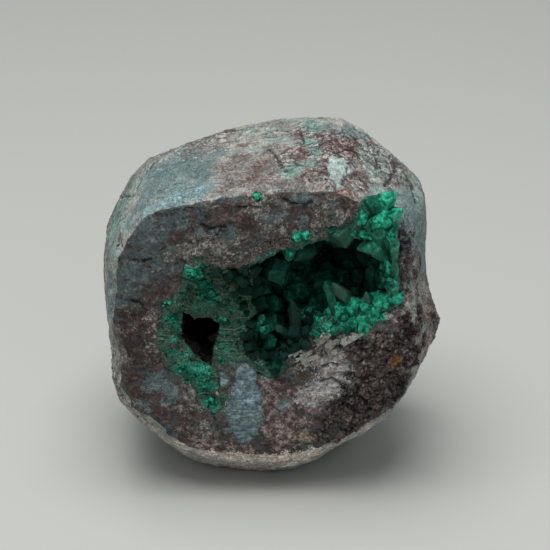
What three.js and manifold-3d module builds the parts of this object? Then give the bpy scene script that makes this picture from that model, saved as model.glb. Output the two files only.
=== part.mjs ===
// A dioptase geode: a hand-sized nodule of copper-stained rock, broken open at the front, whose hollow is
// lined by a crust of green dioptase crystals. It stands on a flat worn base.
// Millimetres, +Z up, the broken face looking along -Y, the origin at the middle of the base.
import * as THREE from "three";
import { TessellateModifier } from "three/addons/modifiers/TessellateModifier.js";
import { mergeVertices } from "three/addons/utils/BufferGeometryUtils.js";
import Module from "manifold-3d";

// The stone's faces are measured from its heart, a point this high above the base.
const HEART = new THREE.Vector3(0, 0, 42);
const FRONT = 25.1; // from the heart to the broken front face
const STONE_DETAIL = 8; // longest side of the triangles that the stone's faces are divided into
const EDGE_SHARPNESS = 30; // the higher, the crisper the edges between the faces
const LUMP_HEIGHT = 0.45; // weathered unevenness of the whole outside
const LUMP_SIZE = 9;

// Each flat or gently curved face of the stone: the way it looks, and how far it lies from the heart.
const FACES = [
  { name: "broken front", toward: [0, -1, 0], distance: FRONT },
  { name: "front left shoulder", toward: [-0.86, -0.49, 0.11], distance: 44.4 },
  { name: "front right shoulder", toward: [0.81, -0.56, 0.15], distance: 40 },
  { name: "dark rubbly bulge", toward: [0.43, -0.88, -0.22], distance: 37.2 },
  { name: "left side", toward: [-1, -0.05, -0.05], distance: 37.8 },
  { name: "upper left side", toward: [-0.87, 0.02, 0.5], distance: 40.3 },
  { name: "blue slope", toward: [-0.52, 0.03, 0.85], distance: 41.4 },
  { name: "crown left", toward: [-0.18, 0.09, 0.98], distance: 35.6 },
  { name: "crown", toward: [-0.07, -0.11, 0.99], distance: 39.9 },
  { name: "crown right", toward: [0.48, 0.01, 0.88], distance: 40.4 },
  { name: "upper right side", toward: [0.92, 0.05, 0.39], distance: 48.2 },
  { name: "right side", toward: [1, -0.01, 0.03], distance: 36.4 },
  { name: "lower right side", toward: [0.9, -0.11, -0.43], distance: 37.2 },
  { name: "right foot", toward: [0.55, -0.4, -0.74], distance: 40.4 },
  { name: "lower left side", toward: [-0.72, -0.09, -0.69], distance: 42.2 },
  { name: "pale lower left", toward: [-0.55, -0.61, -0.56], distance: 42.2 },
  { name: "pale lower front", toward: [-0.11, -0.71, -0.7], distance: 39.7 },
  { name: "pale lower right", toward: [0.25, -0.76, -0.6], distance: 38.7 },
  { name: "back", toward: [0.05, 1, -0.05], distance: 23.3 },
  { name: "back left", toward: [-0.73, 0.68, 0.06], distance: 36.5 },
  { name: "back right", toward: [0.63, 0.74, 0.23], distance: 34 },
  { name: "back top", toward: [0, 0.64, 0.76], distance: 40.3 },
  { name: "back top left", toward: [-0.43, 0.64, 0.64], distance: 38.3 },
  { name: "back foot", toward: [-0.1, 0.72, -0.68], distance: 39.6 },
  { name: "back foot right", toward: [0.6, 0.5, -0.62], distance: 39.6 },
  { name: "underside", toward: [0, 0, -1], distance: 43.2 },
];

// Local swellings (positive) and chips (negative) on the faces: middle, reach and height.
const SWELLINGS = [
  { name: "chip on the left edge", at: [-37, -22, 36], reach: 6, height: -2.6 },
  { name: "nick under the right shoulder", at: [39, -12, 50], reach: 7, height: -3.6 },
  { name: "nick in the right foot", at: [20, -18, 4], reach: 6, height: -2.1 },
  { name: "right hand knob", at: [40, -8, 37], reach: 7, height: 4.6 },
  { name: "lower lip", at: [20, -29, 38], reach: 10, height: 2 },
  { name: "brow over the hollow", at: [-2, -25, 72], reach: 7, height: 1.1 },
  { name: "sunken left of the mouth", at: [-31, -25, 52], reach: 8, height: -1 },
  { name: "rib under the recess", at: [-6, -25, 23], reach: 6, height: 1.3 },
  { name: "hollow in the back", at: [8, 26, 52], reach: 13, height: -2.4 },
  { name: "back knoll", at: [-18, 24, 34], reach: 10, height: 1.8 },
  { name: "dip in the crown", at: [-8, 4, 82], reach: 9, height: -0.9 },
];

// The rubbly, freshly broken lower right is much rougher than the worn rest.
const RUBBLE_MIDDLE = new THREE.Vector3(31, -22, 24);
const RUBBLE_REACH = 22;
const RUBBLE_HEIGHT = 0.9;
const RUBBLE_SIZE = 3.4;

// The mouth of the hollow on the broken face, as X and Z going round clockwise.
const MOUTH = [
  [-19.3, 57], [-17.7, 62.9], [-11.5, 63.4], [-7.8, 61.4], [-4.5, 63.4], [-1.2, 67.1], [3.2, 67.8], [11.2, 69.5],
  [18.4, 72.7], [20.9, 77.5], [25.8, 79.7], [27.6, 76.8], [27.6, 69.5], [28.3, 59.1], [29.1, 52.9], [26.3, 49.1],
  [20.4, 44.7], [12.6, 44.7], [9.9, 41.4], [5.5, 37.5], [3.2, 33.6], [-0.2, 32.3], [-4.6, 36.2], [-11.5, 35.7],
  [-11.8, 30.3], [-9.6, 27.5], [-11.2, 23.5], [-15.2, 24.8], [-16.6, 29.7], [-21.4, 33], [-24.9, 41.4],
  [-24.2, 49.1], [-20.8, 52.9],
];
const MOUTH_DEPTH = 4.5; // the mouth keeps its outline this far behind the face

// Behind the mouth lies a run of rounded caves that open into each other: middle, half widths, turn about Y.
const CAVES = [
  { name: "main cave", middle: [14, -18, 56.2], half: [18.4, 22, 15.2], turn: -24 },
  { name: "upper bay", middle: [2, -22, 59], half: [10.5, 8, 10], turn: 0 },
  { name: "lower cave", middle: [1.8, -19, 44.4], half: [10, 15, 13.6], turn: -10 },
  { name: "left recess", middle: [-12.6, -24, 47.6], half: [15.6, 6, 17.6], turn: 0 },
  { name: "lower tail", middle: [-13.4, -25, 29], half: [5, 3.8, 8], turn: -8 },
  { name: "upper right notch", middle: [24, -25.4, 69], half: [6.8, 5.5, 12.5], turn: -4 },
];
const POCKET = { name: "dark pocket", middle: [-15.8, -15, 41.6], half: [5.4, 13, 7.9], turn: -25 };
const CAVE_DETAIL = 1; // subdivisions of the spheres that the caves are shaped from
const CRUST_DETAIL = 1; // and of the crust's open side
const CAVE_LUMP_HEIGHT = 0.8;
const CAVE_LUMP_SIZE = 5;
const CRUST_GAP = 0.35; // between the crust and the rock
const CRUST_THICKNESS = 2.4;
const RIM_THICKNESS = 1.2; // of the crust where the mouth cuts through it
const CRUST_SINK = 0.012; // share by which the crust lies under the stone's face

// A narrow natural pit in the lower left of the stone.
const PIT = { middle: [-31.5, -13, 15.5], half: [4, 1.7, 3] };

// Dioptase crystals are six-sided prisms that end in three sloping faces.
const PRISM_SIDES = 6;
const TIP_SLOPE = 1.23;
const ROOT = 0.7; // depth of a crystal's foot in the crust
const LEAN = 0.8; // how far crystals lean from the wall's normal
const LEAST_DEPTH = 0.6; // of a crystal's foot under the broken face
const CRYSTAL_FIELDS = [
  { cave: "main cave", count: 42, width: [4.4, 6.4], length: [3, 6] },
  { cave: "upper bay", count: 9, width: [3.6, 5], length: [2, 4] },
  { cave: "lower cave", count: 18, width: [3.8, 5.2], length: [2.2, 4.6] },
  { cave: "left recess", count: 38, width: [2.6, 3.8], length: [1.4, 2.6] },
  { cave: "lower tail", count: 6, width: [2, 2.8], length: [0.8, 1.6] },
  { cave: "upper right notch", count: 14, width: [3, 4.4], length: [1.6, 3] },
];
// Crystals round the edge of the mouth, up to a height.
const RIM = { spacing: 9.6, width: [3, 4.4], length: [1.4, 2.8], top: 75, behindFace: 1.2 };

// A few crystals stand by themselves on the ridge above the hollow, in a small pit.
const RIDGE_TOWARD = new THREE.Vector3(-2.4, -24.6, 36.2).normalize(); // from the heart
const RIDGE_PIT_RADIUS = 1.5;
const RIDGE_PIT_DEPTH = 0.5; // of the pit's middle under the surface
const RIDGE_CRYSTALS = { count: 4, width: 0.9, length: 1.7, lean: 0.45 };

const wasm = await Module();
wasm.setup();

function solidOf(geometry) {
  const bare = geometry.index ? geometry.toNonIndexed() : geometry.clone();
  bare.deleteAttribute("normal");
  bare.deleteAttribute("uv");
  const merged = mergeVertices(bare, 1e-4);
  return new wasm.Manifold(
    new wasm.Mesh({
      numProp: 3,
      vertProperties: merged.attributes.position.array,
      triVerts: new Uint32Array(merged.index.array),
    }),
  );
}

function geometryOf(solid) {
  const mesh = solid.getMesh();
  const points = new Float32Array(mesh.numVert * 3);
  for (let i = 0; i < mesh.numVert; i++) {
    points.set(mesh.vertProperties.subarray(i * mesh.numProp, i * mesh.numProp + 3), i * 3);
  }
  return new THREE.BufferGeometry()
    .setAttribute("position", new THREE.BufferAttribute(points, 3))
    .setIndex(new THREE.BufferAttribute(mesh.triVerts, 1));
}

// Repeatable random numbers from 0 to 1.
function randomFrom(seed) {
  let state = seed;
  return () => {
    state = (state + 0x6d2b79f5) | 0;
    let t = Math.imul(state ^ (state >>> 15), 1 | state);
    t = (t + Math.imul(t ^ (t >>> 7), 61 | t)) ^ t;
    return ((t ^ (t >>> 14)) >>> 0) / 4294967296;
  };
}

// Smooth unevenness from -1 to 1 whose lumps are about size millimetres across.
function unevenness(point, size) {
  const x = (point.x * 2 * Math.PI) / size;
  const y = (point.y * 2 * Math.PI) / size;
  const z = (point.z * 2 * Math.PI) / size;
  const broad = Math.sin(0.51 * x + 0.33 * y) * Math.sin(0.47 * y - 0.39 * z + 1.3);
  const cross = Math.sin(0.43 * z + 0.29 * x + 2.1) * Math.sin(0.61 * y + 0.22 * x);
  const fine = Math.sin(0.93 * x - 0.71 * z) * Math.sin(0.87 * z + 0.66 * y + 0.7);
  return 0.45 * broad + 0.35 * cross + 0.3 * fine;
}

for (const face of FACES) {
  face.normal = new THREE.Vector3(...face.toward).normalize();
}
for (const swelling of SWELLINGS) {
  swelling.middle = new THREE.Vector3(...swelling.at);
}

// The stone's outside: how far the surface lies from the heart in a direction.
function stoneReach(direction) {
  let sum = 0;
  for (const face of FACES) {
    const lean = direction.dot(face.normal);
    if (lean > 0) sum += (lean / face.distance) ** EDGE_SHARPNESS;
  }
  let reach = sum ** (-1 / EDGE_SHARPNESS);
  const point = direction.clone().multiplyScalar(reach).add(HEART);
  for (const swelling of SWELLINGS) {
    const share = point.distanceTo(swelling.middle) / swelling.reach;
    reach += swelling.height * Math.exp(-share * share);
  }
  const rubble = Math.exp(-((point.distanceTo(RUBBLE_MIDDLE) / RUBBLE_REACH) ** 4));
  reach += LUMP_HEIGHT * unevenness(point, LUMP_SIZE);
  reach += rubble * RUBBLE_HEIGHT * unevenness(point, RUBBLE_SIZE);
  return reach;
}

function stoneSolid() {
  let blank = solidOf(new THREE.BoxGeometry(200, 200, 200));
  for (const face of FACES) {
    const inward = face.normal.clone().negate();
    blank = blank.trimByPlane(inward.toArray(), -face.distance);
  }
  const divided = new TessellateModifier(STONE_DETAIL, 16).modify(geometryOf(blank));
  const position = divided.attributes.position;
  const point = new THREE.Vector3();
  for (let i = 0; i < position.count; i++) {
    point.fromBufferAttribute(position, i).normalize();
    point.multiplyScalar(stoneReach(point)).add(HEART);
    position.setXYZ(i, point.x, point.y, point.z);
  }
  const floor = new THREE.BoxGeometry(200, 200, 40).translate(0, 0, -20);
  return solidOf(divided).subtract(solidOf(floor));
}

// The point of a cave's wall in a direction from its middle, drawn in by inset millimetres.
function caveWall(cave, inset, direction) {
  const turn = new THREE.Matrix4().makeRotationY(THREE.MathUtils.degToRad(cave.turn));
  const wall = direction.clone().multiply(new THREE.Vector3(...cave.half).subScalar(inset));
  wall.applyMatrix4(turn).add(new THREE.Vector3(...cave.middle));
  const outward = direction.clone().applyMatrix4(turn);
  return wall.addScaledVector(outward, CAVE_LUMP_HEIGHT * unevenness(wall, CAVE_LUMP_SIZE));
}

function caveSolid(cave, inset) {
  const detail = inset > CRUST_GAP ? CRUST_DETAIL : CAVE_DETAIL;
  const geometry = new THREE.IcosahedronGeometry(1, detail);
  const position = geometry.attributes.position;
  const point = new THREE.Vector3();
  for (let i = 0; i < position.count; i++) {
    point.fromBufferAttribute(position, i).normalize();
    const wall = caveWall(cave, inset, point);
    position.setXYZ(i, wall.x, wall.y, wall.z);
  }
  return solidOf(geometry);
}

// The mouth as an upright-walled cut through the broken face, drawn in by inset millimetres.
function mouthSolid(inset) {
  const corners = MOUTH.map(([x, z]) => new THREE.Vector2(x, z));
  const drawnIn = corners.map((corner, i) => {
    const before = corners[(i + corners.length - 1) % corners.length];
    const after = corners[(i + 1) % corners.length];
    const along = after.clone().sub(before).normalize();
    return corner.clone().add(new THREE.Vector2(along.y, -along.x).multiplyScalar(inset));
  });
  const shape = new THREE.Shape(drawnIn);
  const geometry = new THREE.ExtrudeGeometry(shape, { depth: 2 * FRONT, bevelEnabled: false });
  return solidOf(geometry.rotateX(Math.PI / 2).translate(0, MOUTH_DEPTH - FRONT + inset, 0));
}

// The hollow, drawn in from its wall: the caves, cut off in front to the outline of the mouth.
function hollowSolid(caves, inset, mouthInset) {
  const start = MOUTH_DEPTH - FRONT + mouthInset;
  const behind = new THREE.BoxGeometry(200, 200, 200).translate(0, start + 100, 0);
  const room = mouthSolid(mouthInset).add(solidOf(behind));
  return joined(caves.map((cave) => caveSolid(cave, inset))).intersect(room);
}

function joined(solids) {
  return wasm.Manifold.union(solids);
}

// One crystal standing on the origin along +Z, its foot ROOT below.
function crystalGeometry(width, length) {
  const radius = width / 2;
  const geometry = new THREE.CylinderGeometry(radius, radius * 1.04, length + ROOT, PRISM_SIDES);
  geometry.rotateX(Math.PI / 2).translate(0, 0, (length - ROOT) / 2);
  const position = geometry.attributes.position;
  for (let i = 0; i < position.count; i++) {
    if (position.getZ(i) < 0) continue;
    const x = position.getX(i);
    const y = position.getY(i);
    let fall = 0;
    for (const turn of [0, 120, 240]) {
      const angle = THREE.MathUtils.degToRad(turn);
      fall = Math.max(fall, x * Math.sin(angle) - y * Math.cos(angle));
    }
    position.setZ(i, length - TIP_SLOPE * fall);
  }
  return geometry;
}

// The crystal, turned so that it stands along a direction at a foot point.
function crystalSolid(width, length, spin, foot, along) {
  const geometry = crystalGeometry(width, length);
  const upright = new THREE.Vector3(0, 0, 1);
  const turn = new THREE.Quaternion().setFromUnitVectors(upright, along);
  geometry.rotateZ(spin).applyQuaternion(turn).translate(foot.x, foot.y, foot.z);
  return solidOf(geometry);
}

// Whether a point lies inside a cave's inner wall, with a margin in millimetres.
function isInside(point, cave, inset) {
  const local = point
    .clone()
    .sub(new THREE.Vector3(...cave.middle))
    .applyAxisAngle(new THREE.Vector3(0, 1, 0), -THREE.MathUtils.degToRad(cave.turn));
  const half = new THREE.Vector3(...cave.half).subScalar(inset);
  return local.divide(half).length() < 1;
}

// Crystals spread evenly over a cave's inner wall, each leaning a little from the wall's normal.
function fieldOfCrystals(field, random) {
  const cave = CAVES.find((one) => one.name === field.cave);
  const inset = CRUST_GAP + CRUST_THICKNESS;
  const half = new THREE.Vector3(...cave.half).subScalar(inset);
  const turn = new THREE.Matrix4().makeRotationY(THREE.MathUtils.degToRad(cave.turn));
  const others = [...CAVES.filter((one) => one !== cave), POCKET];
  const goldenAngle = Math.PI * (3 - Math.sqrt(5));
  const solids = [];
  for (let i = 0; i < field.count; i++) {
    const height = 1 - (2 * (i + 0.5)) / field.count;
    const ring = Math.sqrt(1 - height * height);
    const angle = i * goldenAngle;
    const onSphere = new THREE.Vector3(ring * Math.cos(angle), height, ring * Math.sin(angle));
    const foot = caveWall(cave, inset, onSphere);
    const inward = onSphere.clone().divide(half).applyMatrix4(turn).negate().normalize();
    const lean = new THREE.Vector3(random() - 0.5, random() - 0.5, random() - 0.5);
    const along = inward.addScaledVector(lean, LEAN).normalize();
    const size = random();
    const width = THREE.MathUtils.lerp(...field.width, size);
    const length = THREE.MathUtils.lerp(...field.length, 0.6 * size + 0.4 * random());
    const spin = random() * Math.PI;
    const direction = foot.clone().sub(HEART);
    const depth = stoneReach(direction.clone().normalize()) - direction.length();
    const hidden = others.some((one) => isInside(foot, one, inset + CRUST_GAP));
    if (hidden || depth < LEAST_DEPTH) continue;
    solids.push(crystalSolid(width, length, spin, foot, along));
  }
  return solids;
}

const ridgeReach = stoneReach(RIDGE_TOWARD) - RIDGE_PIT_DEPTH;
const ridgeSpot = HEART.clone().addScaledVector(RIDGE_TOWARD, ridgeReach);

function pitSolid() {
  const geometry = new THREE.SphereGeometry(1, 12, 8).scale(...PIT.half);
  return solidOf(geometry.translate(...PIT.middle));
}

function ridgePitSolid(radius) {
  const geometry = new THREE.SphereGeometry(radius, 8, 6);
  return solidOf(geometry.translate(ridgeSpot.x, ridgeSpot.y, ridgeSpot.z));
}

// Crystals along the edge of the mouth, standing on the crust's rim and leaning over the hollow.
function rimCrystals(random) {
  const outline = new THREE.CurvePath();
  MOUTH.forEach((corner, i) => {
    const next = MOUTH[(i + 1) % MOUTH.length];
    outline.add(new THREE.LineCurve(new THREE.Vector2(...corner), new THREE.Vector2(...next)));
  });
  const count = Math.round(outline.getLength() / RIM.spacing);
  const solids = [];
  for (let i = 0; i < count; i++) {
    const share = (i + 0.6 * random()) / count;
    const edge = outline.getPointAt(share);
    const along = outline.getTangentAt(share);
    const inward = new THREE.Vector3(along.y, 0, -along.x);
    const size = random();
    const width = THREE.MathUtils.lerp(...RIM.width, size);
    const length = THREE.MathUtils.lerp(...RIM.length, random());
    const foot = new THREE.Vector3(edge.x, RIM.behindFace - FRONT, edge.y);
    foot.addScaledVector(inward, 0.4 * width);
    const lean = new THREE.Vector3(random() - 0.5, -0.9 * random(), random() - 0.5);
    if (edge.y > RIM.top) continue;
    solids.push(crystalSolid(width, length, random() * Math.PI, foot, lean.add(inward).normalize()));
  }
  return solids;
}

const stone = stoneSolid();
const hollow = hollowSolid([...CAVES, POCKET], 0, 0);
const rock = stone.subtract(hollow).subtract(pitSolid()).subtract(ridgePitSolid(RIDGE_PIT_RADIUS));

const crustOutside = hollowSolid(CAVES, CRUST_GAP, CRUST_GAP);
const crustRoom = hollowSolid(CAVES, CRUST_GAP + CRUST_THICKNESS, CRUST_GAP + RIM_THICKNESS);
const crustInside = crustRoom.add(caveSolid(POCKET, 0));
const keep = 1 - CRUST_SINK;
const sunkenStone = stone
  .translate([-HEART.x, -HEART.y, -HEART.z])
  .scale([keep, keep, keep])
  .translate([HEART.x, HEART.y, HEART.z]);
const lining = crustOutside.intersect(sunkenStone).subtract(crustInside);
const random = randomFrom(7);
const crystals = joined([
  ...CRYSTAL_FIELDS.flatMap((field) => fieldOfCrystals(field, random)),
  ...rimCrystals(random),
]);
const crustPieces = lining.add(crystals.intersect(crustOutside)).decompose();
const crust = crustPieces.reduce((a, b) => (a.volume() > b.volume() ? a : b));

function ridgeCrystalSolid() {
  const foot = ridgePitSolid(RIDGE_PIT_RADIUS - CRUST_GAP);
  const { count, width, length, lean } = RIDGE_CRYSTALS;
  const grown = [];
  for (let i = 0; i < count; i++) {
    const angle = (i * 2 * Math.PI) / count;
    const aside = new THREE.Vector3(Math.cos(angle), Math.sin(angle), 0);
    const along = RIDGE_TOWARD.clone().addScaledVector(aside, lean).normalize();
    grown.push(crystalSolid(width, length, angle, ridgeSpot, along));
  }
  return foot.add(joined(grown));
}

function named(name, solid, color, roughness) {
  const material = new THREE.MeshStandardMaterial({ color, roughness, metalness: 0 });
  const mesh = new THREE.Mesh(geometryOf(solid), material);
  mesh.name = name;
  return mesh;
}

const geode = new THREE.Group();
geode.add(named("rock", rock, 0x77706a, 0.85));
geode.add(named("dioptase_crust", crust, 0x0b7a56, 0.2));
geode.add(named("ridge_crystals", ridgeCrystalSolid(), 0x12a377, 0.2));

// Sets the origin at the middle of the base of the box that holds the geode.
const box = new THREE.Box3().setFromObject(geode);
const middle = box.getCenter(new THREE.Vector3());
geode.position.set(-middle.x, -middle.y, -box.min.z);

export default geode;
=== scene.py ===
import itertools
import math
import random

import bmesh
import bpy
import numpy as np
from mathutils import Matrix, Vector, noise
from mathutils.bvhtree import BVHTree


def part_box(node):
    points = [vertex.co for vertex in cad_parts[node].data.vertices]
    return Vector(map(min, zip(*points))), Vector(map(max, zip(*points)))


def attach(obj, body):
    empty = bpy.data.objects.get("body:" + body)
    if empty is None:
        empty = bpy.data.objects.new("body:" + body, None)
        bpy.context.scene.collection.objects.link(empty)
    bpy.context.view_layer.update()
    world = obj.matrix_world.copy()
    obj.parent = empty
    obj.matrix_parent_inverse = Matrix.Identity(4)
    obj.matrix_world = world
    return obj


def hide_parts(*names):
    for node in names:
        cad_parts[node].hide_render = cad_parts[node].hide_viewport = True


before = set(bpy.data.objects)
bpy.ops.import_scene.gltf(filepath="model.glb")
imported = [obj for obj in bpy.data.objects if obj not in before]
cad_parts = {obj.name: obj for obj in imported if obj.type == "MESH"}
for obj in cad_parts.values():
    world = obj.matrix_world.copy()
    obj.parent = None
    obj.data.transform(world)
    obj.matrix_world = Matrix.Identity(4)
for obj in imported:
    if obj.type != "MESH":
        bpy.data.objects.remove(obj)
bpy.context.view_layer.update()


# The studio: a wide pale sheet under the stone, one broad soft lamp above it, which lights the worn top and
# leaves the broken front in soft shade, and a faint lamp in front.
MM = 0.001
FLOOR_COLOUR = (0.50, 0.505, 0.475, 1)
FLOOR_ROUGHNESS = 0.7
FLOOR_REACH = 1.6
ROOM_COLOUR = (0.93, 0.97, 1.0, 1)
ROOM_LIGHT = 0.26
LAMP_AIM = Vector((0, 0, 0.04))
FILM_WIDTH = 36
TARGET = Vector((0.75, 1.22, 45.6)) * MM
ELEVATION = math.radians(28)
DISTANCE = 0.52
VIEW_WIDTH = 128.04 * MM

sheet = bmesh.new()
bmesh.ops.create_grid(sheet, x_segments=2, y_segments=2, size=FLOOR_REACH)
floor_mesh = bpy.data.meshes.new("studio_floor")
sheet.to_mesh(floor_mesh)
sheet.free()
floor = bpy.data.objects.new("studio_floor", floor_mesh)
bpy.context.collection.objects.link(floor)
floor_paper = bpy.data.materials.new("pale_paper")
floor_paper.use_nodes = True
paper = floor_paper.node_tree.nodes["Principled BSDF"].inputs
paper["Base Color"].default_value = FLOOR_COLOUR
paper["Roughness"].default_value = FLOOR_ROUGHNESS
floor_mesh.materials.append(floor_paper)

room = bpy.data.worlds.new("soft_room")
room.use_nodes = True
air = room.node_tree.nodes["Background"].inputs
air["Color"].default_value = ROOM_COLOUR
air["Strength"].default_value = ROOM_LIGHT
bpy.context.scene.world = room


def aimed(place, direction, axis):
    """The matrix of something that stands at a place with this axis along a direction."""
    return Matrix.Translation(place) @ direction.to_track_quat(axis, "Y").to_matrix().to_4x4()


def hang_lamp(name, place, width, power):
    lamp = bpy.data.lights.new(name, "AREA")
    lamp.shape = "SQUARE"
    lamp.size = width
    lamp.energy = power
    lamp_object = bpy.data.objects.new(name, lamp)
    lamp_object.matrix_world = aimed(Vector(place), LAMP_AIM - Vector(place), "-Z")
    bpy.context.collection.objects.link(lamp_object)


hang_lamp("lamp_above", (-0.06, -0.10, 0.75), 0.55, 6.0)
hang_lamp("lamp_front", (0.25, -0.75, 0.55), 0.35, 0.5)

lens = bpy.data.cameras.new("camera")
lens.sensor_width = FILM_WIDTH
lens.lens = FILM_WIDTH * DISTANCE / VIEW_WIDTH
lens.clip_start = 0.01
camera = bpy.data.objects.new("camera", lens)
back = Vector((0, -math.cos(ELEVATION), math.sin(ELEVATION)))
camera.matrix_world = aimed(TARGET + back * DISTANCE, -back, "-Z")
bpy.context.collection.objects.link(camera)
bpy.context.scene.camera = camera
bpy.context.scene.view_settings.view_transform = "Standard"


# The rock: a nodule of altered copper ore, worn smooth outside and broken open in front. Blue-green, brown
# and pale minerals lie in patches all over it, and the lower right is freshly broken and rubbly.
ROCK_NET = 1.37 * MM
# The broken face lies in front of this, and the rubble lies round this place, in millimetres.
FACE_FRONT = -18.5
RUBBLE_MIDDLE, RUBBLE_REACH = (25, -22, 31), 19
# The sill under the hollow is broken, not skin, round to its inner edge: its middle and its reach each way.
SILL_MIDDLE, SILL_REACH = (-2.5, -23.0, 36.5), (11.0, 6.0, 7.0)
SKIN_TEAL = (0.290, 0.380, 0.362)
SKIN_BEIGE = (0.42, 0.405, 0.365)
SKIN_BROWN = (0.20, 0.150, 0.132)
BROKEN_BROWN = (0.105, 0.078, 0.070)
BROKEN_TEAL = (0.098, 0.128, 0.128)
BROKEN_DARK = (0.030, 0.022, 0.020)
SEAM_RED = (0.080, 0.036, 0.034)
# The near black painted into the pocket: painted shade.
PAINTED_POCKET_SHADE = (0.010, 0.010, 0.010)

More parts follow.
